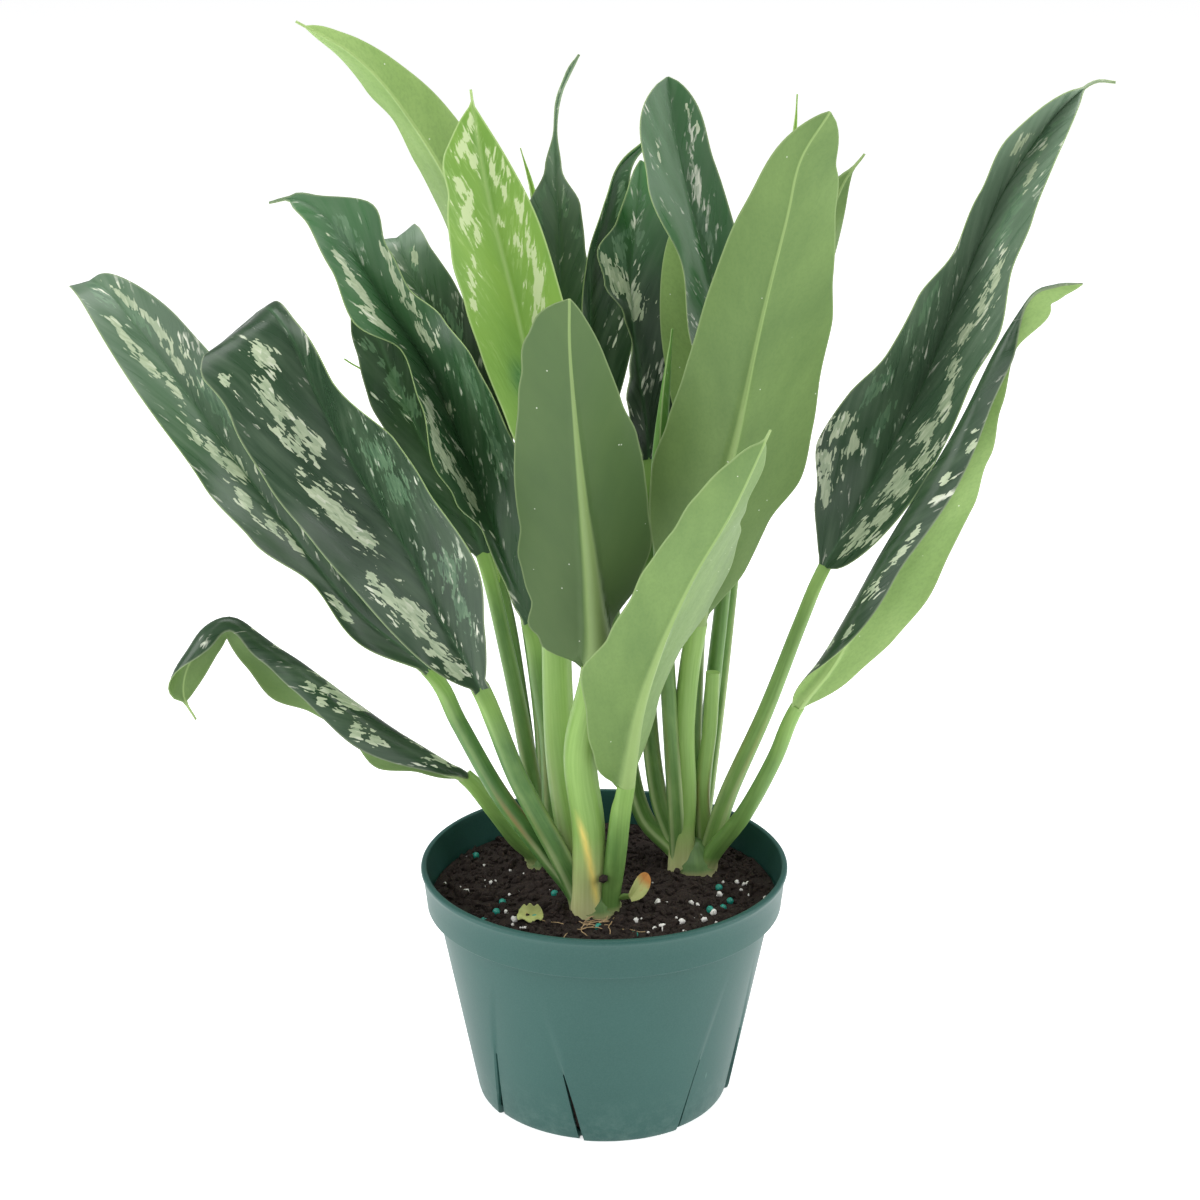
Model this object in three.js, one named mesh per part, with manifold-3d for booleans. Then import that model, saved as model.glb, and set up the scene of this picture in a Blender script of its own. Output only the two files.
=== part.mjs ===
// Potted Chinese evergreen: three leafy shoots standing in soil in a green plastic nursery pot.
// Units are millimetres, +Z is up, and the origin is the middle of the pot's underside.
// The front of the plant faces -Y. Azimuths are degrees from the front, towards +X.

import * as THREE from 'three';
import { mergeVertices } from 'three/addons/utils/BufferGeometryUtils.js';
import Module from 'manifold-3d';

const wasm = await Module();
wasm.setup();

// ---------------------------------------------------------------------------------------------
// Driving dimensions
// ---------------------------------------------------------------------------------------------

const POT_HEIGHT = 111; // a 6.5 inch azalea pot
const RIM_RADIUS = 82.5; // over the rolled lip
const WALL = 1.4;
const FLOOR_TOP = 2.6;
const BASE_RADIUS = 57.6; // where the cone of the wall would meet the table
const WALL_SLOPE = 0.195; // radius gained for each millimetre of height
const COLLAR_BOTTOM = 92; // lower edge of the band under the lip
const COLLAR_STEP = 4.4; // how far the band stands out from the wall

const PANELS = 4; // tapered panels, set back from the wall, with a drain slit at each edge
const PANEL_AZIMUTH = -32.5; // middle of the first panel
const PANEL_HALF_BOTTOM = 22.5; // degrees
const PANEL_HALF_TOP = 9;
const PANEL_TOP = 77;
const PANEL_SETBACK = 1.5;
const SLIT_TOP = 36;
const SLIT_WIDTH_BOTTOM = 2.6;
const SLIT_WIDTH_TOP = 0.7;

const FIT_GAP = 0.35; // between touching pieces
const SOIL_GAP = 0.75; // from the soil to the pot's wall, whose flats reach in between their corners
const HOLE_GAP = 1.2; // from a stem to the edge of its hole in the soil
const SOIL_TOP = 95;
const LUMP_HEIGHT = 0.6; // of the uneven top of the soil
const MOUND_HEIGHT = 2.2; // of the soil banked up at each shoot
const MOUND_SPREAD = 500; // square millimetres
const SOIL_COLUMNS = 36;
const SOIL_RINGS = [75.5, 68, 59, 50, 41, 32, 23, 14, 6]; // radii of the rings of points on the soil
const HOLE_DEPTH = 60; // of a stem's hole, up into the air over the soil
const HOLE_SIDES = 20;
const SPOT_DEPTH = 6; // of the flat spot under the dry scrap of leaf

const STEM_FOOT = 72; // height of the lower end of the stems, down in the soil
const STEM_FOOT_SHAPE = [[0, 0], [0.8, 0], [1, 6]]; // [share of the stem's radius, height over the foot]
const STEM_TOP_SHAPE = [[1, -3], [0.8, 4], [0.6, 12], [0, 16]]; // [share of the radius, height over the soil]
const STEM_SIDES = 14;
const STALK_STARTS = [-12, 6]; // heights over the soil of the first two points of a stalk

const BLADE_THICKNESS = 0.8;
const BLADE_STATIONS = 15;
const SPEAR_STATIONS = 9;
const STALK_SIDES = 7;
const STALK_STEP = 34; // length of a stalk between two rings
const STALK_ROOT = 18; // length of a stalk that stands upright in its stem
const BLADE_GAP = 0.3; // between the top of a stalk and its blade
const DRIP_HALF_WIDTH = 1.5; // of the thin tail that ends a blade, over that of its tip
const TIP_HALF_WIDTH = 0.5;
const RIB_DEPTH = 1.5; // of the midrib at the base of a blade, as a share of the stalk's radius
const RIB_DEPTH_TIP = 0.3;
const RIB_TAPER = 1.6; // power of the midrib's fall from base to tip
const OPEN_SHARES = [1, 0.55, 0.13]; // places of the columns of points across half a blade
const ROLLED_SHARES = [1, 0.82, 0.64, 0.46, 0.28, 0.1]; // across half a blade that rolls over

// ---------------------------------------------------------------------------------------------
// Materials
// ---------------------------------------------------------------------------------------------

const matte = (color, roughness) => new THREE.MeshStandardMaterial({ color, roughness, metalness: 0 });
const DARK_LEAF = '#2a5038';
const UNDERSIDE = '#6b8a50';
const YOUNG_LEAF = '#8db858';
const STALK_GREEN = '#86a862';
const DRY_LEAF = '#a3a95c';

// ---------------------------------------------------------------------------------------------
// Solids
// ---------------------------------------------------------------------------------------------

function closedGeometry(points, triangles) {
  const geometry = new THREE.BufferGeometry();
  const places = points.flatMap((point) => point.toArray());
  geometry.setAttribute('position', new THREE.Float32BufferAttribute(places, 3));
  geometry.setIndex(triangles.flat());
  return geometry;
}

function toSolid(geometry) {
  const bare = geometry.clone();
  bare.deleteAttribute('normal');
  bare.deleteAttribute('uv');
  const merged = mergeVertices(bare, 1e-4);
  return new wasm.Manifold(new wasm.Mesh({
    numProp: 3,
    vertProperties: new Float32Array(merged.attributes.position.array),
    triVerts: new Uint32Array(merged.index.array),
  }));
}

function toGeometry(solid) {
  const mesh = solid.getMesh();
  const geometry = new THREE.BufferGeometry();
  geometry.setAttribute('position', new THREE.BufferAttribute(new Float32Array(mesh.vertProperties), 3));
  geometry.setIndex(new THREE.BufferAttribute(new Uint32Array(mesh.triVerts), 1));
  return geometry;
}

// Rings of points from one end of a body to the other, joined into a closed skin with flat ends.
// flipFrom is the first side whose quads are split along the other diagonal.
function skinRings(rings, flipFrom = Infinity) {
  const sides = rings[0].length;
  const triangles = [];
  for (let i = 0; i + 1 < rings.length; i += 1) {
    for (let j = 0; j < sides; j += 1) {
      const a = i * sides + j;
      const b = i * sides + ((j + 1) % sides);
      const c = b + sides;
      const d = a + sides;
      if (j < flipFrom) triangles.push([a, b, c], [a, c, d]);
      else triangles.push([a, b, d], [b, c, d]);
    }
  }
  const last = (rings.length - 1) * sides;
  for (let j = 1; j + 1 < sides; j += 1) {
    triangles.push([0, j + 1, j], [last, last + j, last + j + 1]);
  }
  return closedGeometry(rings.flat(), triangles);
}

// A body turned about the Z axis: rings of points between a pole at the bottom and one at the top.
function skinTurned(bottom, rings, top) {
  const sides = rings[0].length;
  const triangles = [];
  const first = 1;
  const last = 1 + (rings.length - 1) * sides;
  const topPole = last + sides;
  for (let j = 0; j < sides; j += 1) {
    const next = (j + 1) % sides;
    triangles.push([0, first + next, first + j], [topPole, last + j, last + next]);
    for (let i = 0; i + 1 < rings.length; i += 1) {
      const a = first + i * sides + j;
      const b = first + i * sides + next;
      triangles.push([a, b, b + sides], [a, b + sides, a + sides]);
    }
  }
  return closedGeometry([bottom, ...rings.flat(), top], triangles);
}

const polar = (radius, degrees, z) => {
  const angle = THREE.MathUtils.degToRad(degrees);
  return new THREE.Vector3(radius * Math.sin(angle), -radius * Math.cos(angle), z);
};

// ---------------------------------------------------------------------------------------------
// Pot
// ---------------------------------------------------------------------------------------------

const wallRadius = (z) => BASE_RADIUS + WALL_SLOPE * z;
const panelHalf = (z) => THREE.MathUtils.lerp(PANEL_HALF_BOTTOM, PANEL_HALF_TOP, Math.min(z / PANEL_TOP, 1));
const panelSetback = (z) => PANEL_SETBACK * (1 - Math.min(z / PANEL_TOP, 1));

// Azimuths of the pot's columns at a height, and how far each is set back.
function potColumns(z) {
  const half = panelHalf(z);
  const quarter = 360 / PANELS;
  const edge = 0.9;
  const columns = [];
  for (let panel = 0; panel < PANELS; panel += 1) {
    const middle = PANEL_AZIMUTH + panel * quarter;
    for (const share of [-1, -0.33, 0.33, 1]) columns.push([middle + share * half, panelSetback(z)]);
    const open = quarter - 2 * half - 2 * edge;
    for (const share of [0, 0.2, 0.4, 0.6, 0.8, 1]) columns.push([middle + half + edge + share * open, 0]);
  }
  return columns;
}

function makePot() {
  const collar = wallRadius(COLLAR_BOTTOM) + COLLAR_STEP;
  const outside = [
    [BASE_RADIUS - 1.4, 0], [BASE_RADIUS, 1], [wallRadius(4), 4], [wallRadius(20), 20], [wallRadius(48), 48],
    [wallRadius(PANEL_TOP), PANEL_TOP], [wallRadius(COLLAR_BOTTOM - 0.6), COLLAR_BOTTOM - 0.6],
    [collar - 0.6, COLLAR_BOTTOM], [collar, COLLAR_BOTTOM + 1], [RIM_RADIUS - 1, POT_HEIGHT - 4.2],
    [RIM_RADIUS, POT_HEIGHT - 3], [RIM_RADIUS, POT_HEIGHT - 0.8], [RIM_RADIUS - 0.7, POT_HEIGHT],
  ];
  const inside = [
    [RIM_RADIUS - 2, POT_HEIGHT], [RIM_RADIUS - 2.6, POT_HEIGHT - 0.8], [collar - WALL, COLLAR_BOTTOM + 1.6],
    [wallRadius(COLLAR_BOTTOM) - WALL, COLLAR_BOTTOM - 1.2], [wallRadius(PANEL_TOP) - WALL, PANEL_TOP],
    [wallRadius(48) - WALL, 48], [wallRadius(20) - WALL, 20], [wallRadius(5) - WALL, 5],
    [wallRadius(FLOOR_TOP) - WALL - 2, FLOOR_TOP],
  ];
  const rings = [...outside, ...inside].map(([radius, z]) => (
    potColumns(z).map(([azimuth, setback]) => polar(radius - setback, azimuth, z))
  ));
  const body = skinTurned(new THREE.Vector3(0, 0, 0), rings, new THREE.Vector3(0, 0, FLOOR_TOP));
  let pot = toSolid(body);
  for (let panel = 0; panel < PANELS; panel += 1) {
    for (const side of [-1, 1]) {
      pot = pot.subtract(toSolid(slit(PANEL_AZIMUTH + (panel * 360) / PANELS, side)));
    }
  }
  return toGeometry(pot);
}

// The wedge of air of one drain slit, along the edge of a panel and through the wall.
function slit(middle, side) {
  const ring = (z, width) => {
    const azimuth = middle + side * panelHalf(Math.max(z, 0));
    const turn = THREE.MathUtils.radToDeg(width / 2 / wallRadius(z));
    const reach = 5;
    return [
      polar(wallRadius(z) + reach, azimuth - turn, z), polar(wallRadius(z) + reach, azimuth + turn, z),
      polar(wallRadius(z) - reach, azimuth + turn, z), polar(wallRadius(z) - reach, azimuth - turn, z),
    ];
  };
  return skinRings([ring(-1, SLIT_WIDTH_BOTTOM), ring(SLIT_TOP, SLIT_WIDTH_TOP)]);
}

// ---------------------------------------------------------------------------------------------
// Soil
// ---------------------------------------------------------------------------------------------

const SHOOTS = {
  front: { x: -4, y: -19, radius: 12.5 },
  right: { x: 41, y: 24, radius: 12 },
  left: { x: -27, y: 27, radius: 10 },
};

// A folded scrap of dry leaf: the flat spot that it lies on, its line, and its shape as for a leaf.
const DRY_SCRAP = {
  spot: [-32, -30], spotRadius: 6.5, spotHeight: 96.2, line: [[-38, -27], [-33, -29], [-27, -28]],
  width: 11, widest: 0.5, full: 0.8, left: [[50, 75, 60], 30], right: [0, 0], wave: [0, 1, 0], drip: 0,
  stalkRadius: [0.2, 0.2],
};

// Lumpy top of the potting mix, raised a little round each shoot.
function soilHeight(x, y) {
  const ridges = Math.sin(x / 5.1 + 1.3 * Math.sin(y / 9));
  const furrows = Math.sin(y / 4.3 + 1.1 * Math.sin(x / 7));
  let mound = 0;
  for (const { x: sx, y: sy } of Object.values(SHOOTS)) {
    mound += MOUND_HEIGHT * Math.exp(-((x - sx) ** 2 + (y - sy) ** 2) / MOUND_SPREAD);
  }
  return SOIL_TOP + LUMP_HEIGHT * (0.9 * ridges + 0.8 * furrows) + mound;
}

function makeSoil() {
  const inWall = (z) => wallRadius(z) - WALL - panelSetback(z) - SOIL_GAP;
  const topRadius = wallRadius(COLLAR_BOTTOM) + COLLAR_STEP - WALL - SOIL_GAP;
  const side = [
    [inWall(6) - 4, FLOOR_TOP + FIT_GAP], [inWall(6), 6.5], [inWall(PANEL_TOP), PANEL_TOP],
    [inWall(COLLAR_BOTTOM - 1.2), COLLAR_BOTTOM - 1.2], [topRadius, COLLAR_BOTTOM + 2.7],
  ];
  const ring = (radius, height) => Array.from({ length: SOIL_COLUMNS }, (_, i) => {
    const point = polar(radius, (i * 360) / SOIL_COLUMNS, 0);
    point.z = height ?? soilHeight(point.x, point.y);
    return point;
  });
  const rings = side.map(([radius, z]) => ring(radius, z));
  for (const radius of SOIL_RINGS) rings.push(ring(radius));
  const body = skinTurned(
    new THREE.Vector3(0, 0, FLOOR_TOP + FIT_GAP), rings, new THREE.Vector3(0, 0, soilHeight(0, 0)),
  );
  let soil = toSolid(body);
  for (const { x, y, radius } of Object.values(SHOOTS)) {
    const hole = new THREE.CylinderGeometry(radius + HOLE_GAP, radius + HOLE_GAP, HOLE_DEPTH, HOLE_SIDES);
    hole.rotateX(Math.PI / 2);
    hole.translate(x, y, STEM_FOOT - FIT_GAP + HOLE_DEPTH / 2);
    soil = soil.subtract(toSolid(hole));
  }
  // The dry scrap of leaf lies on a small flat spot.
  const [scrapX, scrapY] = DRY_SCRAP.spot;
  const { spotRadius } = DRY_SCRAP;
  const below = new THREE.CylinderGeometry(spotRadius, spotRadius, SPOT_DEPTH, HOLE_SIDES);
  below.rotateX(Math.PI / 2);
  below.translate(scrapX, scrapY, DRY_SCRAP.spotHeight - SPOT_DEPTH / 2);
  const above = below.clone().translate(0, 0, SPOT_DEPTH);
  return toGeometry(soil.add(toSolid(below)).subtract(toSolid(above)));
}

// ---------------------------------------------------------------------------------------------
// Leaves
// ---------------------------------------------------------------------------------------------

// Each leaf has a stalk from its shoot and a blade along a curve, base first, tip last.
// face: the way that the upper side looks, half way along the blade.
// left, right: [fold, curl, fullness] of the half on that side of the midrib, seen on the upper side
// with the tip up; fold lifts the half from the midrib, and curl bends it on towards its edge, both
// in degrees; fullness is a share of the blade's width.
// A list of values runs from the base of the blade to its tip.
// wave: [height in mm, waves along the edge, phase].
// rolled: one half rolls over, so that it needs more points across.
// stalk radius: [at the shoot, at the blade].
const LEAVES = [
  {
    name: 'leaf_far_left', shoot: 'front', colour: DARK_LEAF,
    stalk: [[-26, -18, 122], [-46, -20, 152], [-63, -22, 186]], stalkRadius: [5, 3.6],
    blade: [[-75, -24, 211], [-108, -22, 240], [-147, -15, 290], [-180, -6, 335], [-205, 4, 366],
      [-218, 16, 373], [-223, 33, 363]],
    width: 52, widest: 0.4, full: 1.2, face: [0.35, -0.75, 0.55], drip: 0, wave: [3, 2.5, 0],
    left: [[5, 15, 0], 12, [0.4, 0.62, 0.36, 0.72, 0.93, 1, 0.97, 1, 1.1]],
    right: [[30, 38, 0], 10, [1, 1, 1, 0.85, 0.4]],
  },
  {
    name: 'leaf_left', shoot: 'front', colour: DARK_LEAF,
    stalk: [[-20, -22, 124], [-37, -25, 160], [-47, -27, 188]], stalkRadius: [5.5, 4.2],
    blade: [[-53, -28, 204], [-67, -36, 235], [-82, -42, 271], [-96, -46, 297], [-108, -50, 321],
      [-118, -52, 345], [-126, -50, 364], [-135, -42, 374], [-143, -26, 369]],
    width: 68, widest: 0.6, full: 1.2, face: [0.25, -0.9, 0.3], drip: 0, wave: [3, 2.5, 0.3],
    left: [[10, 5, -10], 12, [1, 1, 1, 1, 1, 1.05, 1.15, 1.5, 1.5]],
    right: [[35, 45, 60, 70, 0], 10, [0.9, 1, 1.08, 1.05, 1.1, 1.1, 0.5, 0.22, 0.3]],
  },
  {
    name: 'leaf_upper_left', shoot: 'left', colour: DARK_LEAF,
    stalk: [[-24, 21, 131], [-25, 20, 161], [-29, 20, 190]], stalkRadius: [5, 4],
    blade: [[-33, 21, 217], [-46, 24, 252], [-60, 25, 293], [-75, 25, 331], [-93, 25, 360],
      [-108, 27, 383], [-121, 31, 399], [-133, 34, 404.5], [-143.5, 36, 402.5]],
    width: 60, widest: 0.5, full: 1.1, face: [0.2, -0.9, 0.3], drip: 0.04, wave: [3, 2.5, 0.6],
    left: [[20, 50, 10], 10, [0.6, 0.31, 0.29, 0.76, 1.1, 0.75, 0.39, 0.93, 0.66, 0.58, 0.8]],
    right: [[25, 62, 10], 10, [0.85, 0.94, 1.02, 1.09, 1.12, 1.15, 1.18, 1.1, 0.9, 0.59, 0.69, 1.1, 0.42, 0.6]],
  },
  {
    name: 'leaf_upper_left_behind', shoot: 'left', colour: DARK_LEAF,
    stalk: [[-31, 28, 124], [-36, 30, 157], [-43, 32, 195]], stalkRadius: [4.5, 3.4],
    blade: [[-54, 37, 243], [-66, 40, 269], [-81, 43, 296], [-93, 46, 324], [-103, 49, 349],
      [-111, 52, 364]],
    width: 54, widest: 0.4, face: [0.1, -0.95, 0.2], drip: 0, wave: [2, 2.5, 0.1],
    left: [0, 0, [0.7, 0.6, 0.5, 0.5, 0.5, 0.62, 0.66, 0.85, 0.9]], right: [0, 10],
  },
  {
    name: 'leaf_behind_left', shoot: 'left', colour: DARK_LEAF,
    stalk: [[-28, 42, 155], [-36, 53, 216]], stalkRadius: [4.5, 3.4],
    blade: [[-47, 61, 271], [-61, 64, 306], [-74, 67, 341], [-86, 71, 365], [-92, 79, 378],
      [-94, 92, 371]],
    width: 48, widest: 0.5, face: [0.2, -0.9, 0.2], drip: 0, wave: [2, 2, 0.4],
    left: [[0, 0, 0, 5, 15], 0, [1, 1, 0.7, 0.6, 1.2]],
    right: [10, 10, [1, 1, 1, 0.95, 0.78, 0.62, 0.66, 0.7, 0.72, 0.85, 1.4]],
  },
  {
    name: 'leaf_pale_top', shoot: 'left', colour: YOUNG_LEAF,
    stalk: [[-24, 50, 165], [-27, 60, 232]], stalkRadius: [4.5, 3.2],
    blade: [[-33, 66, 298], [-47, 75, 344], [-65, 82, 395], [-90, 90, 435], [-111, 95, 457],
      [-136, 98, 471]],
    width: 38, widest: 0.45, full: 1.5, face: [0.5, 0.75, -0.4], drip: 0.02,
    wave: [1.2, 2, 0.2],
    left: [25, 15, [1, 1, 1, 1, 1, 1, 1, 1.02, 0.95, 0.95, 1.5]],
    right: [25, 15, [1, 1, 1, 1, 1, 1, 0.92, 0.74, 1.2, 1.2, 1.5]],
  },
  {
    name: 'leaf_bright', shoot: 'front', colour: YOUNG_LEAF,
    stalk: [[-13, -10, 125], [-19, -5, 165], [-21, 0, 216]], stalkRadius: [8.5, 6],
    blade: [[-21, 5, 279], [-28, 12, 313], [-38, 24, 359], [-48, 34, 398], [-54, 42, 428],
      [-57, 47, 449]],
    width: 54, widest: 0.48, full: 2, face: [0.1, -0.95, 0.2], drip: 0.03, wave: [1.2, 2, 0.2],
    left: [20, 10, [1, 0.9, 0.8, 0.82, 0.88, 1, 1.08, 1.7, 2.2]],
    right: [15, 10, [1, 0.9, 0.78, 0.88, 0.9]],
  },
  {
    name: 'leaf_front', shoot: 'front', colour: UNDERSIDE,
    stalk: [[-7, -22, 136], [-10.5, -23.5, 174]], stalkRadius: [7.5, 7.2],
    blade: [[-3, -28, 214], [-5, -34, 251], [-9, -44, 294], [-12, -55, 331], [-14, -64, 363],
      [-14, -70, 385]],
    width: 60, widest: 0.48, full: 1.5, face: [-0.1, 0.95, 0.2], drip: 0, wave: [1.5, 2, 0.2],
    left: [8, 8, [0.15, 0.45, 0.9, 1.02, 0.94, 0.92, 0.9, 0.8, 0.79, 0.82, 0.8]],
    right: [8, 8, [3.2, 1.81, 1.21, 1.11, 0.94, 0.93, 0.92, 0.92, 1, 1.3, 2]],
  },
  {
    name: 'leaf_front_right', shoot: 'front', colour: UNDERSIDE,
    stalk: [[5, -25, 125], [7, -28, 145]], stalkRadius: [5.5, 4.4],
    blade: [[9, -31, 160], [14, -42, 198], [22.5, -56, 232], [35.5, -72, 269], [51, -88, 304],
      [64, -104, 341]],
    width: 60, widest: 0.45, face: [-0.5, 0.8, 0.3], drip: 0.03, wave: [1.5, 2, 0.2],
    left: [22, 10, [1, 1, 0.82, 0.84, 1.27, 1.5, 1.4, 1, 0.65, 1, 1]],
    right: [15, 10, [1.5, 1.04, 0.97, 1.05, 0.76, 0.7, 0.8, 0.86, 1.02, 1.14, 1.8]],
  },
  {
    name: 'leaf_tall', shoot: 'right', colour: UNDERSIDE,
    stalk: [[37, 22, 131], [36, 20, 166], [38, 18, 196]], stalkRadius: [5.5, 4.6],
    blade: [[41, 15, 218], [48, 8, 269], [57, 0, 314], [65.5, -8, 362], [74.5, -14, 405],
      [79.5, -16, 430], [91, -17, 450]],
    width: 66, widest: 0.45, full: 1.25, face: [-0.3, 0.9, 0.2], drip: 0, wave: [2, 2.5, 0.2],
    left: [5, 5, [0.6, 1.04, 1.02, 1.23, 1.16, 1.12, 1.14, 1.04, 1.05, 1.3, 1.7]],
    right: [5, 5, [1, 1.03, 1.07, 1.05, 0.94, 0.89, 0.86, 0.84, 0.87, 0.85, 0.85]],
  },
  {
    name: 'leaf_far_right', shoot: 'right', colour: DARK_LEAF,
    stalk: [[56, 23, 132], [73, 26, 173], [88, 28, 215]], stalkRadius: [5, 3],
    blade: [[98, 30, 240], [117, 34, 274], [138, 38, 317], [154, 44, 358], [171, 50, 401],
      [190, 55, 431], [204.5, 59, 446], [212, 60, 450.5], [220, 60, 450]],
    width: 62, widest: 0.38, full: 1.2, face: [-0.3, -0.9, 0.3], drip: 0.06,
    wave: [3, 2.5, 0.2],
    left: [[5, 62, 70], 10, [0.5, 0.84, 1.13, 1.13, 0.97, 0.95, 0.62, 0.82, 1.35, 1.3, 1.5]],
    right: [36, 10, [1, 1.02, 1.05, 1.04, 1, 1.2, 1.03, 1.25, 1.3, 1.4, 1.5]],
  },
  {
    name: 'leaf_right', shoot: 'right', colour: DARK_LEAF, rolled: true,
    stalk: [[63, 12, 128], [76, 7, 157]], stalkRadius: [4.6, 3.4],
    blade: [[85, 2, 184], [101, 0, 208], [120, -8, 252], [136, -15, 287], [151, -21, 320],
      [163, -28, 352], [173, -33, 377], [183, -36, 383], [193.5, -38, 384]],
    width: 54, widest: 0.42, full: 1.3, face: [-0.22, 0.95, 0.1], drip: 0,
    wave: [2.5, 2.5, 0.2],
    left: [-10, 0, [0.6, 0.73, 0.86, 0.91, 0.85, 0.85, 0.66, 0.43, 0.3, 1.07, 1.3]],
    right: [-10, [-40, -150, -175, -160], [0.95, 0.99, 1.04, 1.03, 0.95, 0.9, 0.88, 0.86, 1, 0.12, 0.3]],
  },
  {
    name: 'leaf_back', shoot: 'left', colour: DARK_LEAF,
    stalk: [[-20, 56, 160], [-19, 76, 222]], stalkRadius: [4.5, 3.2],
    blade: [[-20, 89, 283], [-20, 96, 328], [-20, 101, 369], [-22, 105, 403], [-21.3, 107, 431],
      [-16.4, 108.5, 446], [-11.2, 109, 455]],
    width: 42, widest: 0.5, full: 1.5, face: [0, -0.95, 0.2], drip: 0, wave: [1.2, 2, 0.2],
    left: [10, 10, [1, 1.22, 1.18, 1.11, 1.02, 0.9, 0.69, 0.27, 0.06, 0.12, 0.3]],
    right: [10, 10, [1, 1.22, 1.18, 1.11, 0.72, 0.56, 0.53, 0.16, 0.06, 0.1, 0.3]],
  },
  {
    name: 'leaf_back_narrow', shoot: 'right', colour: DARK_LEAF,
    stalk: [[18, 34, 118], [10, 46, 150], [4, 62, 205]], stalkRadius: [4.5, 3.2],
    blade: [[-3, 80, 285], [-6, 85, 330], [-5, 90, 365], [2, 93, 391], [7, 95, 407], [26, 97, 424]],
    width: 44, widest: 0.5, face: [0.5, -0.8, 0.2], drip: 0.03, wave: [1.5, 2, 0.2],
    left: [30, 10, [0.5, 0.4, 0.35, 0.35, 0.35, 0.35, 0.4, 0.35, 0.1, 0.3, 1]],
    right: [30, 10, [1, 1, 1, 1, 1, 1, 1, 0.9, 0.5, 0.25, 0.6]],
  },
  {
    name: 'leaf_back_right', shoot: 'right', colour: DARK_LEAF,
    stalk: [[25, 34, 128], [20, 41, 173], [20, 47, 229]], stalkRadius: [4.5, 3.4],
    blade: [[20, 52, 283], [16, 56, 320], [12, 60, 355], [14, 64, 388], [16, 68, 415]],
    width: 60, widest: 0.5, face: [0.1, -0.95, 0.2], drip: 0, wave: [3, 2.5, 0.2],
    left: [10, 10, [0.6, 0.48, 0.36, 0.17, 0.06, 0.15, 0.45, 0.64, 0.43, 0.4, 0.5]], right: [10, 10],
  },
  {
    name: 'leaf_top', shoot: 'right', colour: DARK_LEAF,
    stalk: [[42, 32, 125], [41, 35, 165], [45, 37, 235]], stalkRadius: [4.2, 3.2],
    blade: [[62, 38, 301], [54, 40, 337], [45, 42, 372], [37, 44, 402], [31, 46, 428], [27, 50, 454]],
    width: 44, widest: 0.5, full: 1.3, face: [0.1, -0.95, 0.2], drip: 0, wave: [2, 2, 0.2],
    left: [25, 10, [1, 1, 0.6, 1.1, 1.8]], right: [20, 10, [1, 1, 0.75, 0.8, 1.2]],
  },
  {
    name: 'leaf_inner_right', shoot: 'right', colour: YOUNG_LEAF,
    stalk: [[35, 36, 150], [40, 43, 210]], stalkRadius: [4, 3],
    blade: [[46, 44, 274], [43, 45, 316], [38, 47, 352], [31, 49, 390]],
    width: 32, widest: 0.5, full: 1.4, face: [0.1, 0.95, 0.1], drip: 0, wave: [1, 2, 0.2],
    left: [10, 10], right: [10, 10],
  },
  {
    name: 'leaf_behind_tall', shoot: 'right', colour: UNDERSIDE,
    stalk: [[47, 44, 146], [53, 54, 206]], stalkRadius: [4.2, 3.2],
    blade: [[61, 62, 276], [76, 60, 323], [91, 56, 369], [102, 52, 405], [112, 50, 421]],
    width: 28, widest: 0.45, face: [-0.3, 0.9, 0.2], drip: 0.05, wave: [1.5, 2, 0.2],
    left: [10, 10], right: [10, 10],
  },
  {
    name: 'leaf_low_left', shoot: 'left', colour: DARK_LEAF, rolled: true,
    stalk: [[-40, 20, 113], [-50, 16, 129]], stalkRadius: [5.2, 4],
    blade: [[-62, 11, 147], [-74, 10, 153], [-100, 6, 172], [-128, 3, 195], [-150, 0, 215],
      [-159, -2, 225], [-165, -3, 227], [-172, -4, 223], [-178, -6, 214], [-183, -8, 204],
      [-184, -9, 193], [-179, -10, 183]],
    width: 52, widest: 0.42, full: 1, face: [0.15, 0.97, 0.03], drip: 0.05, wave: [3, 2.5, 0.2],
    left: [-10, [-120, -170, -160, -170, 0], [1.1, 1.1, 1.15, 1.2, 1.15, 1.1, 0.8, 0.45, 1, 1.2, 1]],
    right: [-10, 0, [0.3, 0.36, 0.67, 0.45, 0.49, 0.63, 0.51, 0.44, 0.6, 0.75, 0.8]],
  },
  {
    name: 'dry_bract', shoot: 'front', colour: DRY_LEAF,
    stalk: [[6.5, -24, 104]], stalkRadius: [3, 1.6],
    blade: [[11, -26, 104.5], [14, -24.5, 107], [17, -21, 110.5], [19.4, -18, 112.5]],
    width: 9, widest: 0.45, full: 1, face: [0.6, -0.7, 0.5], drip: 0, wave: [0.4, 1, 0.2],
    left: [15, 20], right: [15, 20],
  },
];

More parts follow.
